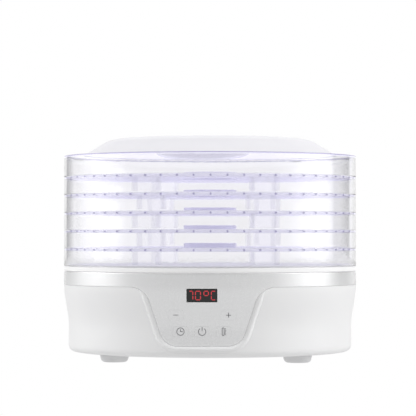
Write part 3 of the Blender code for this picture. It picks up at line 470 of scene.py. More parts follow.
# Rows run from the seam over the bead, down the wall, round the fillet, in along the bottom flange
# and up the inside to the seam again.
rows = [beside_seam(lip * t, -bead * math.sin(math.pi * t)) for t in np.linspace(0.0, 1.0, 13)]
lip_angle = seam_angle + seam_across * lip / radius
lip_height = seam_height + seam_down * lip
for t in np.linspace(0.0, 1.0, 25)[1:]:
    height = lip_height + (fillet_top - lip_height) * t
    rows.append(round_body(lip_angle, side_radius(height), height))
for t in np.linspace(0.0, math.pi / 2, 9)[1:]:
    r = housing_radius - BOTTOM_FILLET * (1 - math.cos(t))
    rows.append(round_body(lip_angle, r, foot_height + BOTTOM_FILLET * (1 - math.sin(t))))
flange_top = foot_height + WALL
inside = housing_radius - WALL
for r, height in ((FLANGE_RADIUS, foot_height), (FLANGE_RADIUS, flange_top), (inside - WALL, flange_top),
                  (inside, flange_top + WALL)):
    rows.append(round_body(lip_angle, r, height))
for t in np.linspace(0.0, 1.0, 12)[1:]:
    height = flange_top + WALL + (seam_height - flange_top - WALL) * t
    rows.append(round_body(lip_angle + (seam_angle - lip_angle) * t, side_radius(height) - WALL, height))
moulding("housing_shell", [skin(rows, ring_rows=True)], white_plastic, "base",
         stands_for=["base_housing"])

# ------------------------------------------------------------
# Bottom plate, feet and screws: the plate is the same white plastic with its air inlet moulded
# in. Four tapered feet stand on it, and a pan-head screw goes up through each.
FOOT_TOP = 0.0155
FOOT_BOTTOM = 0.0138
COUNTERBORE = (0.005, 0.0045)


def turned(profile, columns, centre=(0.0, 0.0)):
    """A (radius, height) outline, given down its outer side, turned about an upright axis."""
    r, height = np.asarray(profile, float).T[:, :, None]
    angle = np.linspace(0.0, math.tau, columns, endpoint=False)
    return skin(round_body(angle, r, height) + (*centre, 0.0), ring_rows=True)


def repaint(nodes, finish):
    """Gives CAD nodes that keep their own shape a better finish."""
    for node in nodes:
        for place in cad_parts[node].material_slots:
            place.material = finish


steel = moulded_finish(
    "zinc_plated_steel", (0.60, 0.60, 0.62), (0.52, 0.52, 0.55), 0.012, 0.0008, 0.30, 0.20, 0.00003,
    Metallic=1.0,
)
# The feet are a greyer white than the body: painted shade for the shade they stand in under the body.
feet_painted_shade = moulded_finish(
    "feet_painted_shade", (0.76, 0.76, 0.765), (0.73, 0.73, 0.74), 0.02, 0.0006, 0.40, 0.10, 0.00003
)
foot_profile = rounded(
    [
        (FOOT_TOP, foot_height - GAP, 0.0006),
        (FOOT_BOTTOM, 0.0, 0.0045),
        (COUNTERBORE[0], 0.0, 0.0004),
        (COUNTERBORE[0], COUNTERBORE[1], 0.0004),
        (0.0022, COUNTERBORE[1], 0.0),
        (0.0022, foot_height - GAP, 0.0),
    ]
)
for name in ("front_left", "front_right", "rear_left", "rear_right"):
    low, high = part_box(f"foot_{name}")
    middle = ((low.x + high.x) / 2, (low.y + high.y) / 2)
    moulding(f"foot_shell_{name}", [turned(foot_profile, 72, middle)], feet_painted_shade, "base",
             stands_for=[f"foot_{name}"])
repaint(["base_bottom"], white_plastic)
repaint([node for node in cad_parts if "screw" in node], steel)

# ------------------------------------------------------------
# Cord gland: a black rubber bush snapped into the rear wall, through which the mains lead enters.
# It has a flange on each side of the wall and a bore with softly rounded mouths.
GLAND_RADII = (0.0034, 0.0055, 0.0075)

black_plastic = moulded_finish(
    "black_plastic", (0.035, 0.035, 0.04), (0.05, 0.05, 0.055), 0.01, 0.0004, 0.42, 0.15, 0.00003
)
gland_low, gland_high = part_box("cord_gland")
gland_height = (gland_low.z + gland_high.z) / 2
bore, neck, flange = GLAND_RADII
wall_out = housing_radius + 2 * GAP
gland_profile = rounded(
    [
        (neck, gland_high.y, 0.0006),
        (flange, gland_high.y - 0.0009, 0.0004),
        (flange, wall_out, 0.0002),
        (neck, wall_out, 0.0),
        (neck, inside - 2 * GAP, 0.0),
        (flange, inside - 2 * GAP, 0.0003),
        (flange, gland_low.y, 0.0004),
        (bore, gland_low.y, 0.0005),
        (bore, gland_high.y, 0.0005),
    ]
)
points, quads = turned(gland_profile, 64)
upright = points.copy()
points = np.stack([-upright[:, 0], upright[:, 2], upright[:, 1] + gland_height], axis=-1)
moulding("gland_bush", [(points, quads)], black_plastic, "base", stands_for=["cord_gland"])

# ------------------------------------------------------------
# Control panel: one silver-sprayed moulding, a band all round the body that widens at the front
# into the apron. It sits flush beside the housing with a fine seam, and is pierced for the window
# and the keys.
PANEL_EDGE = 0.00025
SEAM_GAP = 0.00015
BAND_EDGE = 0.0006
WINDOW_CORNER = 0.0004
KEY_WIDTH = 0.0158
KEY_HEIGHT = 0.0106
KEY_CORNER = 0.0026
KEY_GAP = 0.00003

silver_plastic = moulded_finish(
    "silver_spray", (0.91, 0.912, 0.917), (0.89, 0.892, 0.90), 0.03, 0.0003, 0.26, 0.10, 0.00001,
    Metallic=0.55, Coat_Weight=0.2, Coat_Roughness=0.15,
)
KEYS = ("minus", "plus", "timer", "power", "temperature")
keys = {}
for key in KEYS:
    low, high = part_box(f"button_{key}")
    keys[key] = ((low.x + high.x) / 2, (low.z + high.z) / 2)
window_low, window_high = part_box("display_lens")
window_size = (window_high.x - window_low.x, window_high.z - window_low.z)
window_centre = ((window_low.x + window_high.x) / 2, (window_low.z + window_high.z) / 2)


def rounded_rectangle(centre, width, height, corner, grow=0.0):
    """A rounded rectangle seen from the front, anticlockwise, grown all round by a distance."""
    x, z = centre
    w, h, size = width / 2 + grow, height / 2 + grow, max(corner + grow, 0.0001)
    corners = [(x - w, z - h, size), (x + w, z - h, size), (x + w, z + h, size), (x - w, z + h, size)]
    return rounded(corners, steps=6, side_steps=12)


def window_outline(grow):
    """The display window's outline, grown all round by a distance."""
    return rounded_rectangle(window_centre, *window_size, WINDOW_CORNER, grow)


def on_apron(outline, out):
    """Puts (x, z) points on the front wall, standing out from it by a distance."""
    x, z = np.asarray(outline, float).T
    r = side_radius(z)
    return round_body(np.arcsin(x / r), r + out, z)


def carve(obj, name, cutters):
    """Cuts closed prisms out of a piece and keeps the result as its plain mesh."""
    cutter = bpy.data.objects.new(f"{name}_cutter", piece_mesh(f"{name}_cutter", cutters))
    scene.collection.objects.link(cutter)
    cut = obj.modifiers.new("openings", "BOOLEAN")
    cut.operation = "DIFFERENCE"
    cut.object = cutter
    cut.solver = "EXACT"
    bpy.context.view_layer.update()
    carved = bpy.data.meshes.new_from_object(obj.evaluated_get(bpy.context.evaluated_depsgraph_get()))
    obj.modifiers.clear()
    obj.data = carved
    bpy.data.objects.remove(cutter)
    shade(carved)


def prism(outline):
    """A closed block right through the front wall, with the outline of its (x, z) points."""
    x, z = outline.T
    middle = np.full_like(x, x.mean()), np.full_like(z, z.mean())
    near, far = np.full_like(x, -radius * 1.1), np.full_like(x, -radius * 0.85)
    rows = [(middle[0], near, middle[1]), (x, near, z), (x, far, z), (middle[0], far, middle[1])]
    return skin([np.stack(row, axis=-1) for row in rows])


def panel_row(away, depth):
    """A row of the panel beside the seam, on the apron's side of it."""
    return beside_seam(-(SEAM_GAP + away), depth)


edge_angle = seam_angle - seam_across * (SEAM_GAP + PANEL_EDGE) / radius
edge_height = seam_height - seam_down * (SEAM_GAP + PANEL_EDGE)
rows = [round_body(edge_angle, radius - WALL, band_top)]
for t in np.linspace(0.0, math.pi / 2, 5):
    r = radius - BAND_EDGE * (1 - math.sin(t))
    rows.append(round_body(edge_angle, r, band_top - BAND_EDGE * (1 - math.cos(t))))
for t in np.linspace(0.0, 1.0, 41)[1:]:
    height = band_top - BAND_EDGE + (edge_height - band_top + BAND_EDGE) * t
    rows.append(round_body(edge_angle, side_radius(height), height))
for t in np.linspace(0.0, math.pi / 2, 5)[1:]:
    rows.append(panel_row(PANEL_EDGE * (1 - math.sin(t)), PANEL_EDGE * (1 - math.cos(t))))
rows.append(panel_row(0.0, WALL))
for t in np.linspace(0.0, 1.0, 10)[1:-1]:
    height = edge_height + (band_top - edge_height) * t
    rows.append(round_body(edge_angle, side_radius(height) - WALL, height))
panel = moulding("panel_shell", [skin(rows, ring_rows=True)], silver_plastic, "base",
                 stands_for=["trim_panel"])
openings = [prism(window_outline(GAP))]
openings += [prism(rounded_rectangle(keys[key], KEY_WIDTH, KEY_HEIGHT, KEY_CORNER)) for key in KEYS]
carve(panel, "panel", openings)

# ------------------------------------------------------------
# Display: a smoked acrylic window set flush in the panel, with a white line printed round it. The
# red strokes are those of the module behind it, four seven-stroke places that show a temperature.
# They are drawn at the window's face, where their light comes out.
BORDER = 0.0010
BORDER_OUT = 0.00002
STROKE = 0.00100
STROKE_OUT = 0.00006
DIGIT_HEIGHT = 0.0098
STROKE_GAP = 0.0005
STROKE_ROOT = 0.0002
PLATE_RINGS = (0.0, 0.35, 0.7, 0.93)

smoked_window = moulded_finish(
    "smoked_window", (0.009, 0.010, 0.010), (0.012, 0.013, 0.013), 0.01, 0.002, 0.12, 0.04, 0.000005,
    Coat_Weight=0.1, Coat_Roughness=0.05,
)
white_print = moulded_finish(
    "white_print", (0.92, 0.92, 0.92), (0.88, 0.88, 0.89), 0.004, 0.0003, 0.5, 0.1, 0.00001
)
lit_red = moulded_finish(
    "lit_red", (0.45, 0.03, 0.03), (0.38, 0.02, 0.03), 0.002, 0.0004, 0.4, 0.1, 0.00001,
    Emission_Color=(0.85, 0.06, 0.09, 1.0), Emission_Strength=0.34,
)


def plate(outline_at, edge, thickness):
    """A flush plate on the apron: rings of points from its middle out, a rounded edge and a back.

    outline_at(grow) gives its outline grown by a distance, and each ring is the outline drawn in
    towards the middle by a share.
    """
    top = outline_at(-edge)
    middle = top.mean(axis=0)
    rows = [on_apron(middle + (top - middle) * share, 0.0) for share in PLATE_RINGS]
    for t in np.linspace(0.0, math.pi / 2, 4):
        rows.append(on_apron(outline_at(-edge * (1 - math.sin(t))), -edge * (1 - math.cos(t))))
    rows.append(on_apron(outline_at(0.0), -thickness))
    rows.append(on_apron(np.broadcast_to(middle, top.shape), -thickness))
    return skin(rows)


def stroke(path, width, out, closed=False):
    """A printed or lit stroke on the apron: a low loaf-shaped section carried along an (x, z) path.

    Each row is the path's point plus the section's two coordinates along its right-hand side and
    along the wall's outward direction. Open ends are drawn to their middles.
    """
    path = np.asarray(path, float)
    spots = on_apron(path, 0.0)
    if closed:
        along = np.roll(spots, -1, axis=0) - np.roll(spots, 1, axis=0)
    else:
        along = np.gradient(spots, axis=0)
    outward = spots * (1, 1, 0)
    outward /= np.linalg.norm(outward, axis=1, keepdims=True)
    right = np.cross(along, outward)
    right /= np.linalg.norm(right, axis=1, keepdims=True)
    half = width / 2
    section = np.array([(half, -STROKE_ROOT), (half, out * 0.4), (half * 0.8, out),
                        (-half * 0.8, out), (-half, out * 0.4), (-half, -STROKE_ROOT)])
    rows = spots[:, None] + right[:, None] * section[None, :, :1] + outward[:, None] * section[None, :, 1:]
    if not closed:
        ends = [np.repeat(row.mean(axis=0)[None, None], len(section), axis=1) for row in (rows[0], rows[-1])]
        rows = np.concatenate([ends[0], rows, ends[1]])
    return skin(rows, ring_rows=closed)


def line(start, end, steps=6):
    """Evenly spaced points between two (x, z) points."""
    return np.linspace(start, end, steps)


def arc(centre, size, start, end, steps=36):
    """Points on a circle in the (x, z) plane, between two angles in degrees from the right."""
    a = np.radians(np.linspace(start, end, steps))
    return np.stack([centre[0] + size * np.cos(a), centre[1] + size * np.sin(a)], axis=-1)


moulding("window_pane", [plate(window_outline, 0.0003, 0.0015)], smoked_window, "base",
         stands_for=["display_lens"])
border_rows = [
    on_apron(window_outline(GAP), -STROKE_ROOT),
    on_apron(window_outline(GAP), BORDER_OUT),
    on_apron(window_outline(BORDER), BORDER_OUT),
    on_apron(window_outline(BORDER + 0.0001), -STROKE_ROOT),
]
moulding("window_border", [skin(border_rows, ring_rows=True)], white_print, "base")

# The seven strokes of a place, as (start, end) shares of its half width and half height.
PLACE_STROKES = {
    "top": ((-1, 1), (1, 1)), "upper_right": ((1, 1), (1, 0)), "lower_right": ((1, 0), (1, -1)),
    "bottom": ((-1, -1), (1, -1)), "lower_left": ((-1, 0), (-1, -1)), "upper_left": ((-1, 1), (-1, 0)),
    "middle": ((-1, 0), (1, 0)),
}
PLACES = [
    (-0.0113, 0.0040, ("top", "upper_right", "lower_right")),
    (-0.0040, 0.0052, ("top", "upper_right", "lower_right", "bottom", "lower_left", "upper_left")),
    (0.0044, 0.0046, ("top", "upper_right", "middle", "upper_left")),
    (0.0119, 0.0044, ("top", "bottom", "lower_left", "upper_left")),
]
lit = []
for offset, width, names in PLACES:
    half = np.array([width / 2, DIGIT_HEIGHT / 2 - STROKE / 2])
    centre = np.array([window_centre[0] + offset, window_centre[1]])
    for name in names:
        start, end = (centre + half * share for share in PLACE_STROKES[name])
        trim = (end - start) / np.linalg.norm(end - start) * STROKE_GAP
        lit.append(stroke(line(start + trim, end - trim), STROKE, STROKE_OUT))
moulding("lit_digits", lit, lit_red, "base")

# ------------------------------------------------------------
# Keys: five caps flush in the panel, sprayed with it, each with a round stem to its switch. Their
# signs are printed in grey: minus, plus, clock, power and thermometer.
KEY_EDGE = 0.00004
KEY_THICKNESS = 0.0022
SIGN_OUT = 0.00008
SIGN_STROKE = 0.0008
STEM_RADIUS = 0.0022
STEM_EDGE = 0.0004
MINUS_HALF = 0.0027
PLUS_HALF = 0.0026
DIAL_RADIUS = 0.0038

grey_print = moulded_finish(
    "grey_print", (0.20, 0.20, 0.21), (0.23, 0.23, 0.24), 0.003, 0.0003, 0.5, 0.1, 0.00001
)


def key_cap(centre):
    """The cap's skin: a plate that fills its opening but for the gap all round."""
    def outline(grow):
        return rounded_rectangle(centre, KEY_WIDTH, KEY_HEIGHT, KEY_CORNER, grow - KEY_GAP)

    return plate(outline, KEY_EDGE, KEY_THICKNESS)


def stem(centre, back):
    """A round stem from behind the cap to its end in front of the switch, rounded at the end."""
    front = on_apron([centre], 0.0)[0, 1] + KEY_THICKNESS * 0.7
    angle = np.linspace(0.0, math.tau, 24, endpoint=False)
    rows = []
    for y, size in ((front, 0.0), (front, 1.0), (back - STEM_EDGE, 1.0), (back, 0.8), (back, 0.0)):
        x = centre[0] + STEM_RADIUS * size * np.cos(angle)
        z = centre[1] + STEM_RADIUS * size * np.sin(angle)
        rows.append(np.stack([x, np.full_like(x, y), z], axis=-1))
    return skin(rows)


def signs(key, centre):
    """The strokes of a key's printed sign, as (path, closed) pairs."""
    x, z = centre
    if key == "minus":
        return [(line((x - MINUS_HALF, z), (x + MINUS_HALF, z)), False)]
    if key == "plus":
        across = line((x - PLUS_HALF, z), (x + PLUS_HALF, z))
        return [(across, False), (line((x, z - PLUS_HALF), (x, z + PLUS_HALF)), False)]
    if key == "timer":
        hands = [(line((x, z + 0.0025), (x, z)), False), (line((x, z), (x + 0.0023, z)), False)]
        return [(arc(centre, DIAL_RADIUS, 0, 350), True)] + hands
    if key == "power":
        bar = line((x, z + 0.0008), (x, z + 0.0047))
        return [(arc(centre, DIAL_RADIUS, 125, 415), False), (bar, False)]
    tube = rounded_rectangle((x - 0.0008, z), 0.0020, 0.0078, 0.0008)
    heights = (-0.003, -0.0015, 0, 0.0015, 0.003)
    return [(tube, True)] + [(line((x + 0.0010, z + h), (x + 0.0021, z + h)), False) for h in heights]


for key, centre in keys.items():
    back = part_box(f"button_{key}")[1].y
    moulding(f"key_{key}", [key_cap(centre), stem(centre, back)], silver_plastic, f"button_{key}",
             stands_for=[f"button_{key}"])
    strokes = [stroke(path, SIGN_STROKE, SIGN_OUT, closed) for path, closed in signs(key, centre)]
    moulding(f"sign_{key}", strokes, grey_print, f"button_{key}")

# ------------------------------------------------------------
# Works inside the base: the control board behind the panel, the mains board at the rear, and the
# motor, fan and heater in their steel duct. They keep their CAD shapes and get their own finishes.
board_green = moulded_finish(
    "solder_mask", (0.03, 0.16, 0.07), (0.045, 0.21, 0.09), 0.004, 0.0006, 0.35, 0.2, Coat_Weight=0.4
)
brass = moulded_finish(
    "brass", (0.78, 0.58, 0.26), (0.66, 0.48, 0.22), 0.003, 0.0004, 0.3, 0.2, Metallic=1.0
)
mica = moulded_finish("mica_card", (0.60, 0.52, 0.38), (0.50, 0.42, 0.30), 0.006, 0.001, 0.55, 0.3, 0.00005)
heating_wire = moulded_finish(
    "heating_wire", (0.30, 0.27, 0.25), (0.22, 0.19, 0.20), 0.004, 0.0005, 0.4, 0.2, Metallic=1.0
)
red_lead = moulded_finish(
    "red_sleeve", (0.50, 0.04, 0.03), (0.42, 0.03, 0.03), 0.01, 0.0005, 0.45, 0.1
)
grey_ribbon = moulded_finish(
    "grey_sleeve", (0.42, 0.42, 0.44), (0.36, 0.36, 0.38), 0.01, 0.0005, 0.5, 0.1
)
repaint(["control_board", "power_board"], board_green)
repaint(["motor_bush_lower", "motor_bush_upper", "mains_fuse"], brass)
repaint(["heater_frame"], mica)
repaint(["heater_coil"], heating_wire)
repaint(["heater_lead", "motor_lead", "filter_capacitor"], red_lead)
repaint(["panel_ribbon"], grey_ribbon)
repaint(["terminal_block"], white_plastic)
repaint(
    ["air_duct", "motor_can", "motor_cap", "motor_rotor", "motor_shaft", "motor_stator", "motor_bracket",
     "thermal_cutout"],
    steel,
)
repaint(
    ["fan_impeller", "display_module", "heater_relay", "power_transformer", "temperature_sensor"]
    + [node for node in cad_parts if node.startswith("switch_")],
    black_plastic,
)

# ------------------------------------------------------------
# Deck: the white top of the base. It has a rim that carries the trays, a low ring inside it that
# keeps the lowest tray in place, a sunk floor for drips and a raised lip round the air outlet.
DECK_EDGE = 0.0005
DECK_DEPTH = 0.007
DECK_SHEET = 0.002
OUTLET = 0.060
OUTLET_LIP = 0.0035
RING_RADII = (0.1555, 0.1572)
RING_HEIGHT = 0.0017

deck_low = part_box("top_deck")[0]
stack_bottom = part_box("tray_5")[0].z
rim_top = stack_bottom - GAP
deck_top = stack_bottom - DECK_DEPTH
ring_top = rim_top + RING_HEIGHT
skirt = radius - WALL - GAP
deck_profile = rounded(
    [
        (RING_RADII[0], ring_top, 0.0004),
        (RING_RADII[1], ring_top, 0.0004),
        (RING_RADII[1], rim_top, 0.0003),
        (radius, rim_top, DECK_EDGE),
        (radius, band_top + GAP, DECK_EDGE),
        (skirt, band_top + GAP, 0.0),
        (skirt, deck_low.z, 0.0),
        (RING_RADII[0] - DECK_SHEET, deck_low.z, 0.0),
        (RING_RADII[0] - DECK_SHEET, deck_top - DECK_SHEET, 0.0005),
        (OUTLET, deck_top - DECK_SHEET, 0.0),
        (OUTLET, deck_top + OUTLET_LIP, 0.0006),
        (OUTLET + DECK_SHEET, deck_top + OUTLET_LIP, 0.0006),
        (OUTLET + DECK_SHEET, deck_top, 0.0015),
        (RING_RADII[0], deck_top, 0.002),
    ]
)
# The deck's plastic glows faintly white: painted light that makes up for the light the clear trays keep from
# it.
deck_painted_glow_plastic = moulded_finish(
    "deck_painted_glow_plastic", (0.91, 0.91, 0.913), (0.89, 0.89, 0.897), 0.045, 0.0006, 0.34, 0.10,
    Emission_Color=(1.0, 1.0, 1.0, 1.0), Emission_Strength=0.10,
)
moulding("deck_shell", [turned(deck_profile, 256)], deck_painted_glow_plastic, "base",
         stands_for=["top_deck"])
repaint(["outlet_grille"], white_plastic)

# ------------------------------------------------------------
# Trays: five clear mouldings with a faint violet cast, stacked edge on edge. Each is a skirt that
# hangs from an open lattice floor, with a ring that nests in the tray above, an air collar in the
# middle, small lugs round the floor's edge and four U-shaped pillars. Alternate trays are turned
# half round.
TRAY_WALL = 0.002
TRAY_EDGE = 0.0003
FLOOR_SHEET = 0.0014
FLOOR_BELOW_SEAT = 0.0006
FLOOR_RIM = 0.1515
COLLAR = (0.027, 0.029)
COLLAR_HEIGHT = 0.006
LATTICE_RINGS = np.arange(0.040, 0.150, 0.010)
WIDE_RING = 0.060
WIDE_RING_RISE = 0.0012
RING_BAR = 0.0016
RIM_BAR_INSET = 0.001
RIB_COUNT = 56
RIB_WIDTH = 0.0014
INNER_RIB_COUNT = 28
INNER_RIB_WIDTH = 0.0012
BAR_OVERLAP = 0.0004
LUG_COUNT = 56
LUG_SIZE = (0.0018, 0.0034, 0.0022)
LUG_ABOVE = 0.3
RIM_FADE = (0.1485, 0.1500)
LUG_FADE = (0.1514, 0.1522)
COLLAR_FADE = (0.0310, 0.0300)
COLLAR_SHADE_SHARE = 0.4
PILLAR_ANGLES = (-26.5, 28.0, 156.0, 206.0)
PILLAR_RADIUS = 0.128
PILLAR_WIDTH = 0.030
PILLAR_DEPTH = 0.012
PILLAR_WALL = 0.0016
PILLAR_BOTTOM = 0.0024
SIDE_FACING = 0.6
LEVEL_FACING = 0.3
INSIDE_MARGIN = 0.0004

# The thin sheets keep the plastic's own faint violet, and their glow is painted light.
violet_sheet_painted_glow = moulded_finish(
    "violet_sheet_painted_glow", (0.92, 0.917, 0.955), (0.90, 0.897, 0.94),
    Alpha=0.14, Emission_Color=(0.90, 0.895, 0.95, 1.0), Emission_Strength=0.40,
)
# Pillar sides and the pressed grip are a darker violet with a little glow: painted shade where the clear
# plastic is seen on edge or sunk, with a painted glow.
painted_shade_plastic = moulded_finish(
    "violet_painted_shade_plastic", (0.70, 0.69, 0.79), (0.67, 0.66, 0.77),
    Alpha=0.21, Emission_Color=(0.70, 0.69, 0.80, 1.0), Emission_Strength=0.25,
)
clear_plastic = moulded_finish(
    "clear_plastic", (0.972, 0.970, 0.986), (0.962, 0.960, 0.980), 0.03, 0.004, 0.03, 0.02,
    Transmission_Weight=1.0, IOR=1.57,
)


def edge_mask_group():
    """A mask that rises from 0 to 1 between two distances from the upright axis."""
    group, given, result = effect_group(
        "nearness_to_rim", [("Position", "Vector"), ("From", "Float"), ("To", "Float")], [("Mask", "Float")]
    )
    flat = add_node(group, "VectorMath", operation="MULTIPLY")
    flat.inputs[1].default_value = (1.0, 1.0, 0.0)
    length = add_node(group, "VectorMath", operation="LENGTH")
    rise = add_node(group, "MapRange", interpolation_type="SMOOTHSTEP")
    wire(
        group,
        (given, "Position", flat, 0),
        (flat, "Vector", length, 0),
        (length, "Value", rise, "Value"),
        (given, "From", rise, "From Min"),
        (given, "To", rise, "From Max"),
        (rise, "Result", result, "Mask"),
    )
    return group


NEARNESS_TO_RIM = edge_mask_group()


def rim_mask(tree, place, start, end):
    """A mask node of a material's tree, going from 0 to 1 between two distances from the axis."""
    mask = add_node(tree, "Group", node_tree=NEARNESS_TO_RIM)
    mask.inputs["From"].default_value = start
    mask.inputs["To"].default_value = end
    wire(tree, (place, "Object", mask, "Position"))
    return mask


def lattice_with_painted_shade():
    """The floor's plastic: nearly clear, its own violet made more opaque at its rim and collar as
    painted shade where it is seen on edge.

    The lugs outside the rim, and the collar by a share, are painted a darker violet as shade, and a
    painted glow in the plastic's own colour stands for the light carried in the plastic.
    """
    material = moulded_finish(
        "violet_edge_painted_shade", (0.76, 0.748, 0.85), (0.73, 0.718, 0.83), 0.01, 0.001, 0.25, 0.1,
        Emission_Strength=0.34,
    )
    tree = material.node_tree
    shader = tree.nodes["Principled BSDF"]
    surface = shader.inputs["Base Color"].links[0].from_node
    place = add_node(tree, "TexCoord")
    # The darker violet mixed in at the lugs and collar is painted shade.
    edge_shade_colour = add_node(tree, "Mix", data_type="RGBA")
    edge_shade_colour.inputs["B"].default_value = (0.30, 0.285, 0.44, 1.0)
    alpha = add_node(tree, "MapRange", To_Min=0.30, To_Max=0.75)
    on_edge = maths(tree, "MAXIMUM")
    depth = maths(tree, "MAXIMUM")
    collar_share = maths(tree, "MULTIPLY", COLLAR_SHADE_SHARE)
    collar = rim_mask(tree, place, *COLLAR_FADE)
    wire(
        tree,
        (collar, "Mask", collar_share, 0),
        (collar_share, 0, depth, 0),
        (rim_mask(tree, place, *LUG_FADE), "Mask", depth, 1),
        (depth, 0, edge_shade_colour, "Factor"),
        (surface, "Colour", edge_shade_colour, "A"),
        (edge_shade_colour, "Result", shader, "Base Color"),
        (edge_shade_colour, "Result", shader, "Emission Color"),
        (rim_mask(tree, place, *RIM_FADE), "Mask", on_edge, 0),
        (collar, "Mask", on_edge, 1),
        (on_edge, 0, alpha, "Value"),
        (alpha, "Result", shader, "Alpha"),
    )
    return material


lattice_plastic = lattice_with_painted_shade()


def block(angle, inner, outer, width, low, high):
    """A radial bar with slightly rounded long edges, from one distance from the axis to another.

    Its section is carried outwards along the radius at the given angle, and its ends are drawn
    to their middles.
    """
    outward = np.array([math.sin(angle), -math.cos(angle), 0.0])
    right = np.array([outward[1], -outward[0], 0.0])
    half, chamfer = width / 2, min(width, high - low) * 0.2
    section = np.array([(half, low + chamfer), (half, high - chamfer), (half - chamfer, high),
                        (chamfer - half, high), (-half, high - chamfer), (-half, low + chamfer),
                        (chamfer - half, low), (half - chamfer, low)])
    rows = []
    for r, size in ((inner, 0.0), (inner, 1.0), (outer, 1.0), (outer, 0.0)):
        shape = section * size + section.mean(axis=0) * (1 - size)
        rows.append(outward * r + right * shape[:, :1] + np.array([0.0, 0.0, 1.0]) * shape[:, 1:])
    return skin(rows)


def spokes(count, *sizes, first=0.0):
    """Blocks of the same sizes evenly round the axis, the first a share of a step from the front."""
    return [block(math.tau * (i + first) / count, *sizes) for i in range(count)]


def ring_bar(middle, width, low, high, columns=128):
    """A lattice ring with softly rounded edges."""
    half, soft = width / 2, min(width, high - low) * 0.25
    return turned(
        rounded([(middle - half, high, soft), (middle + half, high, soft), (middle + half, low, soft),
                 (middle - half, low, soft)], steps=2),
        columns,
    )


def pillar(angle, low, high):
    """An upright U of even wall, open towards the rim, carried from its foot to the floor.

    The U is drawn flat as (across, outwards) points, anticlockwise from above, so that a point
    and the one as far from the other end of the list face each other across its wall.
    """
    w, d, t = PILLAR_WIDTH / 2, PILLAR_DEPTH, PILLAR_WALL
    corners = [(-w, d, t / 3), (-w, 0, t), (w, 0, t), (w, d, t / 3), (w - t, d, t / 3), (w - t, t, t / 2),
               (t - w, t, t / 2), (t - w, d, t / 3)]
    across, out = np.roll(rounded(corners, steps=4), 1, axis=0)[::-1].T
    outward = np.array([math.sin(angle), -math.cos(angle)])
    side = np.array([math.cos(angle), math.sin(angle)])
    flat = (PILLAR_RADIUS + out)[:, None] * outward + across[:, None] * side
    return np.stack([np.column_stack([flat, np.full(len(flat), z)]) for z in (high, low)])


def capped_upright(walls):
    """Closes an upright prism of a U outline: its ends are strips between facing points."""
    points, quads = skin(walls)
    count = walls.shape[1]
    half = count // 2
    a = np.arange(half - 1)
    top = np.stack([a, a + 1, count - 2 - a, count - 1 - a], axis=-1)
    bottom = (top + count)[:, ::-1]
    return points, np.vstack([quads, top, bottom])


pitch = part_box("tray_4")[0].z - stack_bottom
seat = pitch - GAP
floor_top = pitch - FLOOR_BELOW_SEAT
floor_bottom = floor_top - FLOOR_SHEET
wall_profile = rounded(
    [
        (RING_RADII[0], seat + RING_HEIGHT, TRAY_EDGE),
        (RING_RADII[1], seat + RING_HEIGHT, TRAY_EDGE),
        (RING_RADII[1], seat, TRAY_EDGE / 2),
        (radius, seat, TRAY_EDGE),
        (radius, 0.0, TRAY_EDGE),
        (radius - TRAY_WALL, 0.0, TRAY_EDGE),
        (radius - TRAY_WALL, floor_bottom, TRAY_EDGE * 2),
        (FLOOR_RIM, floor_bottom, TRAY_EDGE),
        (FLOOR_RIM, floor_top, TRAY_EDGE),
        (RING_RADII[0], floor_top, TRAY_EDGE),
    ],
    steps=3,
)
collar_profile = rounded(
    [
        (COLLAR[0], floor_top + COLLAR_HEIGHT, 0.0005),
        (COLLAR[1], floor_top + COLLAR_HEIGHT, 0.0005),
        (COLLAR[1], floor_bottom, 0.0003),
        (COLLAR[0], floor_bottom, 0.0003),
    ]
)
lattice = [turned(collar_profile, 96)]
for r in LATTICE_RINGS:
    rise = WIDE_RING_RISE if abs(r - WIDE_RING) < 0.001 else 0.0
    lattice.append(ring_bar(r, RING_BAR, floor_bottom, floor_top + rise))
lattice.append(ring_bar(FLOOR_RIM - RIM_BAR_INSET, RIB_WIDTH, floor_bottom - 0.0006, floor_top + 0.0015, 192))
rib_end = FLOOR_RIM - RIM_BAR_INSET - 0.0002
lattice += spokes(RIB_COUNT, WIDE_RING - BAR_OVERLAP, rib_end, RIB_WIDTH, floor_bottom, floor_top)
lattice += spokes(INNER_RIB_COUNT, COLLAR[1] - BAR_OVERLAP, WIDE_RING + 0.0003, INNER_RIB_WIDTH,
                  floor_bottom, floor_top)
lug_width, lug_depth, lug_height = LUG_SIZE
lug_foot = FLOOR_RIM - BAR_OVERLAP
lattice += spokes(LUG_COUNT, lug_foot, lug_foot + lug_depth, lug_width,
                  floor_top - lug_height * (1 - LUG_ABOVE), floor_top + lug_height * LUG_ABOVE, first=0.5)
pillars = [capped_upright(pillar(math.radians(a), PILLAR_BOTTOM, floor_bottom)) for a in PILLAR_ANGLES]


def face_values(obj, what):
    """The centres or normals of a piece's faces, as rows of three."""
    values = np.zeros(len(obj.data.polygons) * 3, np.float32)
    obj.data.polygons.foreach_get(what, values)
    return values.reshape(-1, 3)


def refinish(obj, finish, chosen):
    """Gives the chosen faces of a piece another finish."""
    indices = np.zeros(len(obj.data.polygons), np.int32)
    obj.data.polygons.foreach_get("material_index", indices)
    obj.data.materials.append(finish)
    indices[chosen] = len(obj.data.materials) - 1
    obj.data.polygons.foreach_set("material_index", indices)


def thin_inside(obj, distance):
    """Gives level faces, and all nearer than a distance to the axis, the finish of thin sheet, whose glow is
    painted light.
    """
    from_axis = np.linalg.norm(face_values(obj, "center")[:, :2], axis=1)
    level = np.abs(face_values(obj, "normal")[:, 2]) > LEVEL_FACING
    refinish(obj, violet_sheet_painted_glow, (from_axis < distance) | level)


def placed(skins, lift, turned_round):
    """The skins lifted to a tray's height, and turned half round when the tray is."""
    flip = np.array([-1.0, -1.0, 1.0]) if turned_round else np.ones(3)
    return [(points * flip + (0.0, 0.0, lift), quads) for points, quads in skins]


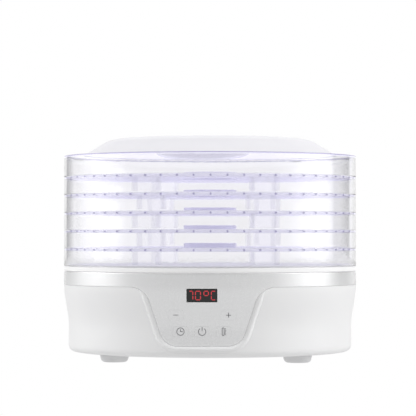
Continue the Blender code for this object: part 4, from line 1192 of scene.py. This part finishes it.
for number in range(5, 0, -1):
    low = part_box(f"tray_{number}")[0].z
    turned_round = number % 2 == 0
    tray = moulding(f"tray_wall_{number}", placed([turned(wall_profile, 256)] + pillars, low, turned_round),
                    clear_plastic, f"tray_{number}", stands_for=[f"tray_{number}"])
    thin_inside(tray, radius - TRAY_WALL - INSIDE_MARGIN)
    centres, normals = face_values(tray, "center")[:, :2], face_values(tray, "normal")[:, :2]
    from_axis = np.linalg.norm(centres, axis=1)
    facing = np.abs((centres * normals).sum(axis=1)) / from_axis
    # Pillar faces seen on edge get the darker violet, as painted shade.
    refinish(tray, painted_shade_plastic, (from_axis < PILLAR_RADIUS + PILLAR_WIDTH / 2) & (facing < SIDE_FACING))
    moulding(f"tray_floor_{number}", placed(lattice, low, turned_round), lattice_plastic, f"tray_{number}")

# ------------------------------------------------------------
# Lid skirt: a clear moulding that stands on the top tray. Its flat shoulder carries the dome and is
# pressed down at the front into a crescent for the fingers.
LID_WALL = 0.002
LEDGE = 0.124
DOME_FOOT = 0.1395
GRIP_CENTRE = 0.1445
GRIP_HALF = (0.048, 0.0110)
GRIP_DROP = 0.0075
GRIP_TURN = 0.36
RIM_EDGE = 0.0008
HOLD = 0.0005
SUNK_DEPTH = 0.0006
RIM_LINE = 0.0014

lid_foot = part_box("lid_skirt")[0].z
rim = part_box("lid_skirt")[1].z


def skirt_points():
    """The skirt's grid: shoulder, edge and wall turned about the axis, with the grip pressed in.

    Shoulder points inside the grip's ellipse go down by the drop times the square root of one
    less the squared distance from its middle, in half widths. Columns stand closer over the grip,
    and points at a holding distance from each bend keep the runs flat when smooth.
    """
    flat = np.append(np.linspace(LEDGE, radius - RIM_EDGE - HOLD, 40), radius - RIM_EDGE)
    shoulder = np.column_stack([flat, np.zeros_like(flat)])
    t = np.linspace(0.0, math.pi / 2, 6)[1:, None]
    edge = np.hstack([radius - RIM_EDGE * (1 - np.sin(t)), -RIM_EDGE * (1 - np.cos(t))])
    foot = lid_foot - rim
    low = foot + TRAY_EDGE
    inner = radius - LID_WALL
    wall = np.array([
        (radius, -RIM_EDGE - HOLD), (radius, low + HOLD), (radius, low), (radius - TRAY_EDGE, foot),
        (inner + TRAY_EDGE, foot), (inner, low), (inner, low + HOLD), (inner, -LID_WALL - 0.0009),
        (inner, -LID_WALL - 0.0004), (inner - 0.0004, -LID_WALL), (inner - 0.0009, -LID_WALL),
    ])
    back = np.linspace(inner - 0.0009, LEDGE, 40)[1:]
    under = np.column_stack([back, np.full_like(back, -LID_WALL)])
    profile = np.vstack([shoulder, edge, wall, under])
    front = np.linspace(-GRIP_TURN, GRIP_TURN, 161)
    rest = np.linspace(GRIP_TURN, math.tau - GRIP_TURN, 200)[1:-1]
    angle = np.append(front, rest)
    points = round_body(angle, profile[:, :1], profile[:, 1:])
    x, y = points[..., 0], points[..., 1]
    near = 1 - (x / GRIP_HALF[0]) ** 2 - ((y + GRIP_CENTRE) / GRIP_HALF[1]) ** 2
    on_shoulder = np.abs(profile[:, 1] + LID_WALL / 2) < LID_WALL * 0.51
    points[..., 2] -= np.where(on_shoulder[:, None], GRIP_DROP * np.sqrt(np.clip(near, 0.0, 1.0)), 0.0)
    return points + (0.0, 0.0, rim)


skirt_shell = moulding("lid_skirt_shell", [skin(skirt_points(), ring_rows=True)], clear_plastic, "lid",
                       stands_for=["lid_skirt"])
thin_inside(skirt_shell, radius - LID_WALL - INSIDE_MARGIN)
# The rim band keeps the plastic's violet but is painted darker and nearly solid: painted shade where the
# shoulder is seen on edge, with a faint painted glow.
rim_painted_shade = moulded_finish(
    "violet_rim_painted_shade", (0.36, 0.335, 0.55), (0.34, 0.315, 0.53),
    Alpha=0.8, Emission_Color=(0.58, 0.55, 0.78, 1.0), Emission_Strength=0.16,
)
centres = face_values(skirt_shell, "center")
from_axis = np.hypot(centres[:, 0], centres[:, 1])
at_rim = (centres[:, 2] > rim - RIM_LINE) & (from_axis > radius - LID_WALL)
refinish(skirt_shell, rim_painted_shade, at_rim)
# The pressed grip's faces get the darker violet, as painted shade in the recess.
sunk = (centres[:, 2] < rim - LID_WALL - SUNK_DEPTH) & (from_axis < radius - LID_WALL - 0.001)
refinish(skirt_shell, painted_shade_plastic, sunk)

# ------------------------------------------------------------
# Lid dome: a low frosted moulding bonded on the skirt's shoulder. Its crown rolls over a soft
# shoulder, its side flares out to the foot, and eight slots let the damp air out.
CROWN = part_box("lid_dome")[1].z - rim
SHOULDER_BEND = ((0.096, 0.0189), (0.1105, 0.0182), (0.1165, 0.0140))
FLARE_BEND = (0.1290, 0.0062)
VENT_COUNT = 8
VENT_SPAN = (0.012, 0.026)
VENT_WIDTH = 0.003

frosted_plastic = moulded_finish(
    "frosted_plastic", (0.76, 0.755, 0.785), (0.74, 0.735, 0.77), 0.03, 0.0005, 0.38, 0.1, 0.00003,
    Transmission_Weight=0.05, IOR=1.46,
)


def dome_line(sink):
    """(radius, height) points of the dome from the axis to its foot, moved in by a thickness.

    The crown falls off with the square of the radius. Two bends follow, each the blend of its
    three points by (1 - t) squared, 2 t (1 - t) and t squared: over the shoulder, then out to
    the foot. The whole line moves against its own outward direction.
    """
    start, over, end = np.array(SHOULDER_BEND)
    r = np.linspace(0.0, start[0], 30)[:, None]
    top = np.hstack([r, CROWN - (CROWN - start[1]) * (r / start[0]) ** 2])
    t = np.linspace(0.0, 1.0, 17)[1:, None]

    def bend(first, between, last):
        return first * (1 - t) ** 2 + between * 2 * t * (1 - t) + last * t * t

    flare = bend(end, np.array(FLARE_BEND), np.array([DOME_FOOT, GAP]))
    line_points = np.vstack([top, bend(start, over, end), flare])
    along = np.gradient(line_points, axis=0)
    outward = np.column_stack([-along[:, 1], along[:, 0]]) / np.linalg.norm(along, axis=1, keepdims=True)
    outward[0] = (0.0, 1.0)
    moved = line_points - outward * sink
    moved[:, 1] = np.maximum(moved[:, 1], GAP)
    return moved


outer, inner = dome_line(0.0), dome_line(LID_WALL)
angle = np.linspace(0.0, math.tau, 256, endpoint=False)
profile = np.vstack([outer, inner[::-1]])
dome = moulding("dome_shell", [skin(round_body(angle, profile[:, :1], profile[:, 1:] + rim))],
                frosted_plastic, "lid", stands_for=["lid_dome"])
vents = spokes(VENT_COUNT, *VENT_SPAN, VENT_WIDTH, rim, rim + 2 * CROWN)
carve(dome, "dome", vents)
# The dome's underside glows faintly: painted light inside the dome that shows through the frosted shell.
dome_inside_painted_glow = moulded_finish(
    "frosted_inside_painted_glow", (0.95, 0.945, 0.98), (0.93, 0.925, 0.965), 0.03, 0.0005, 0.45, 0.1, 0.00003,
    Transmission_Weight=0.05, IOR=1.46, Emission_Color=(0.95, 0.94, 0.99, 1.0), Emission_Strength=0.36,
)
centres, normals = face_values(dome, "center"), face_values(dome, "normal")
refinish(dome, dome_inside_painted_glow, (normals[:, 2] < 0.0) & (centres[:, 2] > rim + GAP * 2))
